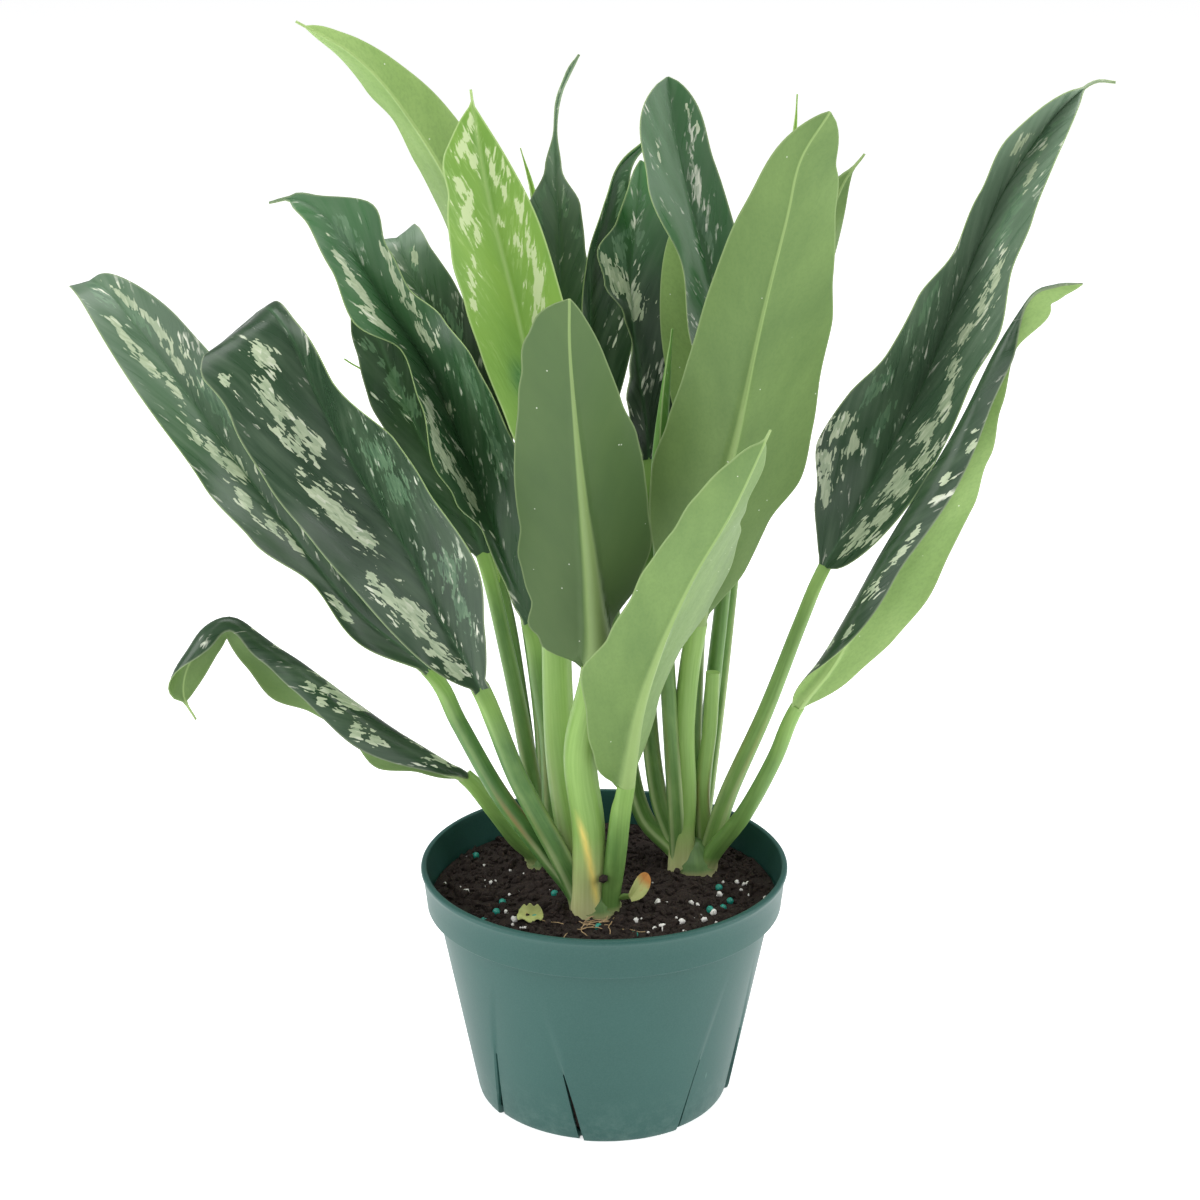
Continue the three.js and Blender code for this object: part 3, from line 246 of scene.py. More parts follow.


# %% [markdown]
# ## Leaf sizes
# Each leaf is a stalk from its shoot and a blade along a curve. The points are listed in millimetres, and
# they are the same as in the solids, so the fine blades grow exactly where the plain ones stand. left and
# right give each half of a blade, seen on its upper side: how far it folds up, how much it curls on, and how
# full it is.
# face is the way that its upper side looks. widest is the share of its length where it is broadest, taper is
# how fast it narrows from there, and drip is the share that is a thin tail. wave is the height, the number
# and the start of the ripples of its edge.

# %% Shoots and leaves
SHOOTS = {"front": (-4, -19, 12.5), "right": (41, 24, 12), "left": (-27, 27, 10)}  # x, y and radius
SOIL_TOP = 95
STALK_TO_BLADE = 0.3
LEAVES = {
    "leaf_far_left": dict(
        shoot="front", stalk=[(-26, -18, 122), (-46, -20, 152), (-63, -22, 186)], stalk_radius=(5, 3.6),
        blade=[(-75, -24, 211), (-108, -22, 240), (-147, -15, 290), (-180, -6, 335), (-205, 4, 366),
            (-218, 16, 373), (-223, 33, 363)], width=52, widest=0.4, taper=1.2, face=[0.35, -0.75, 0.55],
        wave=[3, 2.5, 0], left=[[5, 15, 0], 12, [0.4, 0.62, 0.36, 0.72, 0.93, 1, 0.97, 1, 1.1]],
        right=[[30, 38, 0], 10, [1, 1, 1, 0.85, 0.4]],
    ),
    "leaf_left": dict(
        shoot="front", stalk=[(-20, -22, 124), (-37, -25, 160), (-47, -27, 188)], stalk_radius=(5.5, 4.2),
        blade=[(-53, -28, 204), (-67, -36, 235), (-82, -42, 271), (-96, -46, 297), (-108, -50, 321),
            (-118, -52, 345), (-126, -50, 364), (-135, -42, 374), (-143, -26, 369)], width=68, widest=0.6,
        taper=1.2, face=[0.25, -0.9, 0.3], wave=[3, 2.5, 0.3],
        left=[[10, 5, -10], 12, [1, 1, 1, 1, 1, 1.05, 1.15, 1.5, 1.5]],
        right=[[35, 45, 60, 70, 0], 10, [0.9, 1, 1.08, 1.05, 1.1, 1.1, 0.5, 0.22, 0.3]],
    ),
    "leaf_upper_left": dict(
        shoot="left", stalk=[(-24, 21, 131), (-25, 20, 161), (-29, 20, 190)], stalk_radius=(5, 4),
        blade=[(-33, 21, 217), (-46, 24, 252), (-60, 25, 293), (-75, 25, 331), (-93, 25, 360),
            (-108, 27, 383), (-121, 31, 399), (-133, 34, 404.5), (-143.5, 36, 402.5)], width=60, taper=1.1,
        face=[0.2, -0.9, 0.3], drip=0.04, wave=[3, 2.5, 0.6],
        left=[[20, 50, 10], 10, [0.6, 0.31, 0.29, 0.76, 1.1, 0.75, 0.39, 0.93, 0.66, 0.58, 0.8]],
        right=[[25, 62, 10], 10, [0.85, 0.94, 1.02, 1.09, 1.12, 1.15, 1.18, 1.1, 0.9, 0.59, 0.69, 1.1, 0.42,
            0.6]],
    ),
    "leaf_upper_left_behind": dict(
        shoot="left", stalk=[(-31, 28, 124), (-36, 30, 157), (-43, 32, 195)], stalk_radius=(4.5, 3.4),
        blade=[(-54, 37, 243), (-66, 40, 269), (-81, 43, 296), (-93, 46, 324), (-103, 49, 349),
            (-111, 52, 364)], width=54, widest=0.4, face=[0.1, -0.95, 0.2], wave=[2, 2.5, 0.1],
        left=[0, 0, [0.7, 0.6, 0.5, 0.5, 0.5, 0.62, 0.66, 0.85, 0.9]], right=[0, 10],
    ),
    "leaf_behind_left": dict(
        shoot="left", stalk=[(-28, 42, 155), (-36, 53, 216)], stalk_radius=(4.5, 3.4),
        blade=[(-47, 61, 271), (-61, 64, 306), (-74, 67, 341), (-86, 71, 365), (-92, 79, 378),
            (-94, 92, 371)], width=48, face=[0.2, -0.9, 0.2], wave=[2, 2, 0.4],
        left=[[0, 0, 0, 5, 15], 0, [1, 1, 0.7, 0.6, 1.2]],
        right=[10, 10, [1, 1, 1, 0.95, 0.78, 0.62, 0.66, 0.7, 0.72, 0.85, 1.4]],
    ),
    "leaf_pale_top": dict(
        shoot="left", stalk=[(-24, 50, 165), (-27, 60, 232)], stalk_radius=(4.5, 3.2),
        blade=[(-33, 66, 298), (-47, 75, 344), (-65, 82, 395), (-90, 90, 435), (-111, 95, 457),
            (-136, 98, 471)], width=38, widest=0.45, face=[0.5, 0.75, -0.4], drip=0.02, wave=[1.2, 2, 0.2],
        left=[25, 15, [1, 1, 1, 1, 1, 1, 1, 1.02, 0.95, 0.95, 1.5]],
        right=[25, 15, [1, 1, 1, 1, 1, 1, 0.92, 0.74, 1.2, 1.2, 1.5]],
    ),
    "leaf_bright": dict(
        shoot="front", stalk=[(-13, -10, 125), (-19, -5, 165), (-21, 0, 216)], stalk_radius=(8.5, 6),
        blade=[(-21, 5, 279), (-28, 12, 313), (-38, 24, 359), (-48, 34, 398), (-54, 42, 428),
            (-57, 47, 449)], width=54, widest=0.48, taper=2, face=[0.1, -0.95, 0.2], drip=0.03,
        wave=[1.2, 2, 0.2], left=[20, 10, [1, 0.9, 0.8, 0.82, 0.88, 1, 1.08, 1.7, 2.2]],
        right=[15, 10, [1, 0.9, 0.78, 0.88, 0.9]],
    ),
    "leaf_front": dict(
        shoot="front", stalk=[(-7, -22, 136), (-10.5, -23.5, 174)], stalk_radius=(7.5, 7.2),
        blade=[(-3, -28, 214), (-5, -34, 251), (-9, -44, 294), (-12, -55, 331), (-14, -64, 363),
            (-14, -70, 385)], width=60, widest=0.48, face=[-0.1, 0.95, 0.2], wave=[1.5, 2, 0.2],
        left=[8, 8, [0.15, 0.45, 0.9, 1.02, 0.94, 0.92, 0.9, 0.8, 0.79, 0.82, 0.8]],
        right=[8, 8, [3.2, 1.81, 1.21, 1.11, 0.94, 0.93, 0.92, 0.92, 1, 1.3, 2]],
    ),
    "leaf_front_right": dict(
        shoot="front", stalk=[(5, -25, 125), (7, -28, 145)], stalk_radius=(5.5, 4.4),
        blade=[(9, -31, 160), (14, -42, 198), (22.5, -56, 232), (35.5, -72, 269), (51, -88, 304),
            (64, -104, 341)], width=60, widest=0.45, face=[-0.5, 0.8, 0.3], drip=0.03, wave=[1.5, 2, 0.2],
        left=[22, 10, [1, 1, 0.82, 0.84, 1.27, 1.5, 1.4, 1, 0.65, 1, 1]],
        right=[15, 10, [1.5, 1.04, 0.97, 1.05, 0.76, 0.7, 0.8, 0.86, 1.02, 1.14, 1.8]],
    ),
    "leaf_tall": dict(
        shoot="right", stalk=[(37, 22, 131), (36, 20, 166), (38, 18, 196)], stalk_radius=(5.5, 4.6),
        blade=[(41, 15, 218), (48, 8, 269), (57, 0, 314), (65.5, -8, 362), (74.5, -14, 405),
            (79.5, -16, 430), (91, -17, 450)], width=66, widest=0.45, taper=1.25, face=[-0.3, 0.9, 0.2],
        wave=[2, 2.5, 0.2], left=[5, 5, [0.6, 1.04, 1.02, 1.23, 1.16, 1.12, 1.14, 1.04, 1.05, 1.3, 1.7]],
        right=[5, 5, [1, 1.03, 1.07, 1.05, 0.94, 0.89, 0.86, 0.84, 0.87, 0.85, 0.85]],
    ),
    "leaf_far_right": dict(
        shoot="right", stalk=[(56, 23, 132), (73, 26, 173), (88, 28, 215)], stalk_radius=(5, 3),
        blade=[(98, 30, 240), (117, 34, 274), (138, 38, 317), (154, 44, 358), (171, 50, 401),
            (190, 55, 431), (204.5, 59, 446), (212, 60, 450.5), (220, 60, 450)], width=62, widest=0.38,
        taper=1.2, face=[-0.3, -0.9, 0.3], drip=0.06, wave=[3, 2.5, 0.2],
        left=[[5, 62, 70], 10, [0.5, 0.84, 1.13, 1.13, 0.97, 0.95, 0.62, 0.82, 1.35, 1.3, 1.5]],
        right=[36, 10, [1, 1.02, 1.05, 1.04, 1, 1.2, 1.03, 1.25, 1.3, 1.4, 1.5]],
    ),
    "leaf_right": dict(
        shoot="right", stalk=[(63, 12, 128), (76, 7, 157)], stalk_radius=(4.6, 3.4),
        blade=[(85, 2, 184), (101, 0, 208), (120, -8, 252), (136, -15, 287), (151, -21, 320),
            (163, -28, 352), (173, -33, 377), (183, -36, 383), (193.5, -38, 384)], width=54, widest=0.42,
        taper=1.3, face=[-0.22, 0.95, 0.1], wave=[2.5, 2.5, 0.2],
        left=[-10, 0, [0.6, 0.73, 0.86, 0.91, 0.85, 0.85, 0.66, 0.43, 0.3, 1.07, 1.3]],
        right=[-10, [-40, -150, -175, -160], [0.95, 0.99, 1.04, 1.03, 0.95, 0.9, 0.88, 0.86, 1, 0.12, 0.3]],
    ),
    "leaf_back": dict(
        shoot="left", stalk=[(-20, 56, 160), (-19, 76, 222)], stalk_radius=(4.5, 3.2),
        blade=[(-20, 89, 283), (-20, 96, 328), (-20, 101, 369), (-22, 105, 403), (-21.3, 107, 431),
            (-16.4, 108.5, 446), (-11.2, 109, 455)], width=42, face=[0, -0.95, 0.2], wave=[1.2, 2, 0.2],
        left=[10, 10, [1, 1.22, 1.18, 1.11, 1.02, 0.9, 0.69, 0.27, 0.06, 0.12, 0.3]],
        right=[10, 10, [1, 1.22, 1.18, 1.11, 0.72, 0.56, 0.53, 0.16, 0.06, 0.1, 0.3]],
    ),
    "leaf_back_narrow": dict(
        shoot="right", stalk=[(18, 34, 118), (10, 46, 150), (4, 62, 205)], stalk_radius=(4.5, 3.2),
        blade=[(-3, 80, 285), (-6, 85, 330), (-5, 90, 365), (2, 93, 391), (7, 95, 407), (26, 97, 424)],
        width=44, face=[0.5, -0.8, 0.2], drip=0.03, wave=[1.5, 2, 0.2],
        left=[30, 10, [0.5, 0.4, 0.35, 0.35, 0.35, 0.35, 0.4, 0.35, 0.1, 0.3, 1]],
        right=[30, 10, [1, 1, 1, 1, 1, 1, 1, 0.9, 0.5, 0.25, 0.6]],
    ),
    "leaf_back_right": dict(
        shoot="right", stalk=[(25, 34, 128), (20, 41, 173), (20, 47, 229)], stalk_radius=(4.5, 3.4),
        blade=[(20, 52, 283), (16, 56, 320), (12, 60, 355), (14, 64, 388), (16, 68, 415)], width=60,
        face=[0.1, -0.95, 0.2], wave=[3, 2.5, 0.2],
        left=[10, 10, [0.6, 0.48, 0.36, 0.17, 0.06, 0.15, 0.45, 0.64, 0.43, 0.4, 0.5]],
    ),
    "leaf_top": dict(
        shoot="right", stalk=[(42, 32, 125), (41, 35, 165), (45, 37, 235)], stalk_radius=(4.2, 3.2),
        blade=[(62, 38, 301), (54, 40, 337), (45, 42, 372), (37, 44, 402), (31, 46, 428), (27, 50, 454)],
        width=44, taper=1.3, face=[0.1, -0.95, 0.2], left=[25, 10, [1, 1, 0.6, 1.1, 1.8]],
        right=[20, 10, [1, 1, 0.75, 0.8, 1.2]],
    ),
    "leaf_inner_right": dict(
        shoot="right", stalk=[(35, 36, 150), (40, 43, 210)], stalk_radius=(4, 3),
        blade=[(46, 44, 274), (43, 45, 316), (38, 47, 352), (31, 49, 390)], width=32, taper=1.4,
        face=[0.1, 0.95, 0.1], wave=[1, 2, 0.2],
    ),
    "leaf_behind_tall": dict(
        shoot="right", stalk=[(47, 44, 146), (53, 54, 206)], stalk_radius=(4.2, 3.2),
        blade=[(61, 62, 276), (76, 60, 323), (91, 56, 369), (102, 52, 405), (112, 50, 421)], width=28,
        widest=0.45, face=[-0.3, 0.9, 0.2], drip=0.05, wave=[1.5, 2, 0.2],
    ),
    "leaf_low_left": dict(
        shoot="left", stalk=[(-40, 20, 113), (-50, 16, 129)], stalk_radius=(5.2, 4),
        blade=[(-62, 11, 147), (-74, 10, 153), (-100, 6, 172), (-128, 3, 195), (-150, 0, 215),
            (-159, -2, 225), (-165, -3, 227), (-172, -4, 223), (-178, -6, 214), (-183, -8, 204),
            (-184, -9, 193), (-179, -10, 183)], width=52, widest=0.42, taper=1, face=[0.15, 0.97, 0.03],
        drip=0.05, wave=[3, 2.5, 0.2],
        left=[-10, [-120, -170, -160, -170, 0], [1.1, 1.1, 1.15, 1.2, 1.15, 1.1, 0.8, 0.45, 1, 1.2, 1]],
        right=[-10, 0, [0.3, 0.36, 0.67, 0.45, 0.49, 0.63, 0.51, 0.44, 0.6, 0.75, 0.8]],
    ),
    "dry_bract": dict(
        shoot="front", stalk=[(6.5, -24, 104)], stalk_radius=(3, 1.6),
        blade=[(11, -26, 104.5), (14, -24.5, 107), (17, -21, 110.5), (19.4, -18, 112.5)], width=9,
        widest=0.45, taper=1, face=[0.6, -0.7, 0.5], wave=[0.4, 1, 0.2], left=[15, 20], right=[15, 20],
    ),
}
ROLLED_LEAVES = {
    "rolled_leaf_middle": dict(
        shoot="right", radius=4.4, stalk=[(29, 17, 182)], stalk_radius=(4.2, 3.4),
        blade=[(25, 16, 250), (24, 16, 289), (26, 16, 321), (29, 16, 352)],
    ),
    "rolled_leaf_back_right": dict(
        shoot="right", radius=3.4, stalk=[(53, 56, 169), (63, 74, 261)], stalk_radius=(4, 3),
        blade=[(74, 82, 338), (80, 83, 383), (84, 84, 423), (85, 86, 441)],
    ),
    "rolled_leaf_back": dict(
        shoot="left", radius=3.2, stalk=[(-28, 76, 190), (-27, 98, 270)], stalk_radius=(4, 2.8),
        blade=[(-27, 110, 330), (-29, 114, 360), (-32, 116, 389), (-38, 116, 412)],
    ),
    "rolled_leaf_left": dict(
        shoot="left", radius=3.4, stalk=[(-38, 46, 170)], stalk_radius=(4, 3),
        blade=[(-48, 54, 225), (-69, 58, 269), (-98, 62, 313), (-116, 63, 327)],
    ),
}
CUT_STALK = dict(shoot="right", stalk=[(45, 28, 134), (48, 29, 163), (49, 30, 190)], stalk_radius=(4, 3.2))
PLAIN_LEAF = dict(widest=0.5, taper=1.5, drip=0, wave=(2, 2, 0.2), left=(10, 10), right=(10, 10))
LEAVES = {name: {**PLAIN_LEAF, **leaf} for name, leaf in LEAVES.items()}
print("leaves:", len(LEAVES), "open and", len(ROLLED_LEAVES), "rolled")

# %% [markdown]
# ## The curve of a leaf
# A leaf grows along one smooth line, from inside its shoot to its tip. A Catmull-Rom curve passes through
# all the hand-set points, and even steps of its length keep the veins evenly spaced.


# %% Curve helpers
LINE_STEPS = 400
STALK_FOOT = (-12, 6)  # heights over the soil of the first two points of every stalk


def catmull_rom(points, t):
    """Places along a smooth curve through the points, for shares t from 0 to 1."""
    points = np.asarray(points, float)
    last = len(points) - 1
    where = np.clip(t, 0, 1) * last
    i = np.minimum(where.astype(int), last - 1)
    w = (where - i)[:, None]
    p = np.vstack([2 * points[0] - points[1], points, 2 * points[-1] - points[-2]])
    a, b, c, d = p[i], p[i + 1], p[i + 2], p[i + 3]
    start, end = (c - a) / 2, (d - b) / 2
    return (2 * b - 2 * c + start + end) * w**3 + (3 * c - 3 * b - 2 * start - end) * w**2 + start * w + b


class Line:
    """A curve that is read by shares of its length."""

    def __init__(self, points):
        self.points = points
        self.t = np.linspace(0, 1, LINE_STEPS + 1)
        steps = np.diff(catmull_rom(points, self.t), axis=0)
        self.done = np.concatenate([[0], np.cumsum(np.linalg.norm(steps, axis=1))])
        self.length = self.done[-1]

    def at(self, shares):
        return catmull_rom(self.points, np.interp(np.asarray(shares) * self.length, self.done, self.t))

    def forward(self, shares):
        step = 1e-4
        ahead = self.at(np.clip(shares + step, 0, 1)) - self.at(np.clip(shares - step, 0, 1))
        return ahead / np.linalg.norm(ahead, axis=1)[:, None]


def unit(vector):
    vector = np.asarray(vector, float)
    return vector / np.linalg.norm(vector)


def carried(face, forward):
    """The way that the upper side looks, set half way along and carried to both ends without a twist."""
    up = np.zeros_like(forward)
    middle = round((len(forward) - 1) / 2)
    up[middle] = unit(face) - forward[middle] * (unit(face) @ forward[middle])
    up[middle] = unit(up[middle])
    for i in [*range(middle + 1, len(forward)), *range(middle - 1, -1, -1)]:
        before = up[i - 1] if i > middle else up[i + 1]
        up[i] = unit(before - forward[i] * (before @ forward[i]))
    return up


def eased(values, t):
    """The value at share t of the way through a list of values at even steps, eased between them."""
    if not isinstance(values, (list, tuple)):
        return np.full_like(t, values)
    values = np.asarray(values, float)
    step = np.minimum((t * (len(values) - 1)).astype(int), len(values) - 2)
    share = t * (len(values) - 1) - step
    return values[step] + (values[step + 1] - values[step]) * share**2 * (3 - 2 * share)


def whole_line(shoot, stalk, stalk_radius, blade=(), **_):
    """The line of a leaf, from inside its shoot to its tip, and the share where its blade starts."""
    x, y, radius = SHOOTS[shoot]
    angle = math.atan2(stalk[0][1] - y, stalk[0][0] - x)
    reach = radius - stalk_radius[0]
    feet = [(x + reach * math.cos(angle), y + reach * math.sin(angle), SOIL_TOP + z) for z in STALK_FOOT]
    line = Line([*feet, *stalk, *blade])
    if not len(blade):
        return line, 1.0
    shares = np.arange(LINE_STEPS + 1) / LINE_STEPS
    return line, shares[np.argmin(np.linalg.norm(line.at(shares) - np.asarray(blade[0], float), axis=1))]


lengths = [whole_line(**leaf)[0].length for leaf in LEAVES.values()]
print("longest leaf:", round(max(lengths)), "mm with its stalk")

# %% [markdown]
# ## Leaf finishes
# A leaf is a thin waxy skin over green flesh. Its upper side is dark and half glossy, with pale patches
# where the flesh has no green. Where the patches lie is listed for each leaf, and noise breaks them up:
# cells stretched along the side veins give the ends their teeth. The underside is a dull olive with a pale
# rib. Everything is read from values stored on the mesh in real millimetres of leaf, so it never slides.

# %% Leaf pattern sizes, in millimetres along and across the side veins
PATCH_SIZE = (13.0, 3.6, 1)
TOOTH_SIZE = (4.2, 0.9, 1)
STREAK_SIZE = (34.0, 3.2, 1)
SHADE_SIZE = (42.0, 16.0, 1)
GRAIN_SIZE = (4.0, 0.8, 1)
SPECKLE_SIZE = (1.5, 0.9, 1)
CHIP_SIZE = (8.0, 7.0, 1)
YOUNG_SHADE_SIZE = (60.0, 14.0, 1)
YOUNG_PATCH_SIZE = (14.0, 2.4, 1)
YOUNG_TOOTH_SIZE = (4.5, 0.8, 1)
YOUNG_GRAIN_SIZE = (6.0, 0.9, 1)
VEIN_SPACING = 7.5
VEIN_WAVES = 0.31  # of the wave texture, whose own waves are 20 / 2 pi to a unit
MARGIN_LINE = 0.6
TOOTH_REACH = 0.3  # how much a tooth adds to the noise that breaks up a patch
MARK_WEIGHT = 0.62  # how much a listed mark adds to it


def sized(tree, vector, size):
    """Coordinates in which one cell of a pattern has this size in millimetres."""
    return add(tree, "stretch", vector, tuple(1 / value for value in size))


def read_stored(tree, *keys):
    """The place among the side veins, and the X, Y and Z of each other thing that the mesh stores."""
    vectors = [add(tree, "stored", attribute_name=key).outputs["Vector"] for key in ("veins", *keys)]
    return [vectors[0], *(add(tree, "split", vector).outputs for vector in vectors[1:])]


def vein_relief(tree, veins):
    """Low ridges that run along the side veins."""
    across = add(tree, "stretch", veins, (0, 1 / VEIN_SPACING, 0))
    waves = add(tree, "waves", across, Scale=VEIN_WAVES, Distortion=1.5, Detail=2.0, Detail_Scale=0.4)
    return waves.outputs["Fac"]


def toothed(tree, veins, patch_size, tooth_size):
    """A random tone for every tooth, and the noise with teeth that breaks up the patches."""
    clouds = add(tree, "noise", sized(tree, veins, patch_size), Detail=4.0)
    tooth = add(tree, "split", add(tree, "cells", sized(tree, veins, tooth_size)).outputs["Color"])
    return tooth, add(tree, "math", tooth, TOOTH_REACH, clouds, operation="MULTIPLY_ADD")


def patch(tree, mark, edge, *limits):
    """How much of a patch shows where its mark and the noise together rise past the limits."""
    return add(tree, "range", add(tree, "math", mark, MARK_WEIGHT, edge, operation="MULTIPLY_ADD"), *limits)


# %% Upper side: variegated dark leaf with a waxy cuticle
upper, tree, surface = new_material("waxy_variegated_upper_side", roughness=0.36, ior=1.45)
veins, place, marks, look = read_stored(tree, "place", "marks", "look")
shade = add(tree, "noise", sized(tree, veins, SHADE_SIZE), Detail=4.0)
streaks = add(tree, "noise", sized(tree, veins, STREAK_SIZE), Detail=2.0)
tooth, edge = toothed(tree, veins, PATCH_SIZE, TOOTH_SIZE)
dark = add(tree, "mix", shade, "#142118", "#324733")
fresh = add(tree, "mix", shade, "#27602f", "#468744")
# Painted sheen: grey-green streaks lighten the dark skin where the streak noise and the large tone noise are
# both high.
painted_sheen = add(tree, "math", add(tree, "range", streaks, 0.45, 0.95), shade, operation="MULTIPLY")
# Painted sheen too: a grey veil, as strong as each leaf's listed value along its length, lightens the skin.
grey_sheen_and_tint = add(tree, "mix", streaks, "#5c7560", "#93a690")
# Dim green patches: partly the leaf's own colour, partly painted shade on pale patches that lie in shade.
jade_and_shade = add(tree, "mix", tooth, "#3f6146", "#6a8b69")
cream = add(tree, "mix", tooth, "#8a9d7e", "#b3bf9f")
# Pale whitish patches: partly wear on the skin, partly painted sheen.
silver = add(tree, "mix", tooth, "#93a48a", "#d9dccb")
skin = painted(
    tree, add(tree, "mix", look["X"], dark, fresh),
    (painted_sheen, "#5d7259"),
    (look["Z"], grey_sheen_and_tint),
    (patch(tree, marks["Y"], edge, 0.955, 1.0, 0.0, 0.65), jade_and_shade),
    (patch(tree, marks["X"], edge, 0.975, 0.99), cream),
    (add(tree, "range", place["X"], 0.3, 1.3, 0.45, 0.0), "#3f6440"),
    (add(tree, "range", place["Y"], MARGIN_LINE * 0.4, MARGIN_LINE * 1.4, 0.5, 0.0), "#93a37c"),
    (patch(tree, marks["Z"], edge, 0.84, 1.0, 0.0, 0.9), silver),
)
grain = add(tree, "noise", sized(tree, veins, GRAIN_SIZE))
height = add(tree, "math", grain, 0.5, vein_relief(tree, veins), operation="MULTIPLY_ADD")
dress(tree, surface, skin, add(tree, "range", streaks, 0.3, 0.7, 0.24, 0.4),
      Strength=0.14, Distance=0.4 * MM, Height=height)

# %% Underside: dull olive skin with a pale rib
under, tree, surface = new_material("matt_olive_underside", roughness=0.5, ior=1.4)
veins, place, look = read_stored(tree, "place", "under_look")
shade = add(tree, "noise", sized(tree, veins, SHADE_SIZE), Detail=4.0)
speckle = add(tree, "noise", sized(tree, veins, SPECKLE_SIZE))
chips = add(tree, "cells", sized(tree, veins, CHIP_SIZE))
olive = add(tree, "mix", shade, "#4c6c36", "#7c9b53")
young = add(tree, "mix", shade, "#86ab54", "#abc87c")
rib_edge = add(tree, "math", look["Y"], 0.55, operation="MULTIPLY")
skin = painted(
    tree, add(tree, "mix", look["X"], olive, young),
    # Painted shade: each leaf's shade value darkens its underside towards a deep olive.
    (look["Z"], "#38512f"),
    (add(tree, "range", speckle, 0.4, 0.7, 0.0, 0.2), "#4f6d3c"),
    (add(tree, "range", place["X"], rib_edge, look["Y"], 0.5, 0.0), "#a3bd76"),
    (add(tree, "range", chips.outputs["Distance"], 0.03, 0.05, 0.8, 0.0), "#dfe6d2"),
    (add(tree, "range", place["Y"], MARGIN_LINE * 0.4, MARGIN_LINE * 1.4, 0.3, 0.0), "#a9bb86"),
)
height = add(tree, "math", speckle, 0.6, vein_relief(tree, veins), operation="MULTIPLY_ADD")
dress(tree, surface, skin, add(tree, "range", speckle, 0, 1, 0.42, 0.6),
      Strength=0.06, Distance=0.4 * MM, Height=height)

# %% Young leaf: thin, soft and yellow green, with cream streaks
young_skin, tree, surface = new_material("soft_young_upper_side", roughness=0.42, ior=1.42)
veins, place, marks, look = read_stored(tree, "place", "marks", "look")
shade = add(tree, "noise", sized(tree, veins, YOUNG_SHADE_SIZE), Detail=4.0)
tooth, edge = toothed(tree, veins, YOUNG_PATCH_SIZE, YOUNG_TOOTH_SIZE)
streaked = painted(
    tree, add(tree, "mix", shade, "#5e8f2c", "#93ba4b"),
    (look["Z"], "#3f6e34"),
    (patch(tree, marks["X"], edge, 0.82, 0.96, 0.0, 0.35), "#a9c678"),
    (patch(tree, marks["X"], edge, 0.975, 0.99, 0.0, 0.8), "#c9d8a5"),
    # Dim green patches: partly the leaf's own colour, partly painted shade.
    (marks["Y"], add(tree, "mix", tooth, "#3f7434", "#5a8a45")),
)
skin = painted(
    tree, add(tree, "mix", shade, "#3f7a38", "#5b9048"),
    (look["X"], streaked),
    (add(tree, "range", place["X"], 0.3, 1.6, 0.5, 0.0), "#a9c97c"),
    (add(tree, "range", place["Y"], MARGIN_LINE * 0.4, MARGIN_LINE * 1.5, 0.5, 0.0), "#c3d79a"),
)
dress(tree, surface, skin, add(tree, "range", shade, 0, 1, 0.38, 0.5),
      Strength=0.3, Distance=0.3 * MM, Height=add(tree, "noise", sized(tree, veins, YOUNG_GRAIN_SIZE)))
print("leaf finishes:", upper.name, under.name, young_skin.name)

# %% [markdown]
# ## Blades
# A blade is a grid of points: stations along its line and columns across it. The upper and the lower skin
# are set half the leaf's thickness either side, the rim is thin, the midrib is a shallow groove above and a
# ridge below, the edge ripples, and soft pleats run along each half. Columns lie closest together near the
# rib, where the shape changes fastest.

# %% Blade sizes
LEAF_THICKNESS = 0.8
RIM_THICKNESS = 0.4
STATION_STEP = 2.4
SHORT_LEAF, SHORT_STEP = 100, 1
COLUMNS = 15  # from the rib to an edge
COLUMN_CROWDING = 1.25  # power by which columns lie closer near the rib
TAIL_HALF_WIDTH = 1.5
GROOVE_DEPTH, GROOVE_WIDTH = 0.5, 1.4
VEIN_ANGLE = math.radians(20)  # between a side vein and the rib
PLEAT_SIZE = (70.0, 9.0)  # along and across
PLEAT_HEIGHT = 0.9
PLEAT_START = 7  # distance from the rib at which pleats have their full height
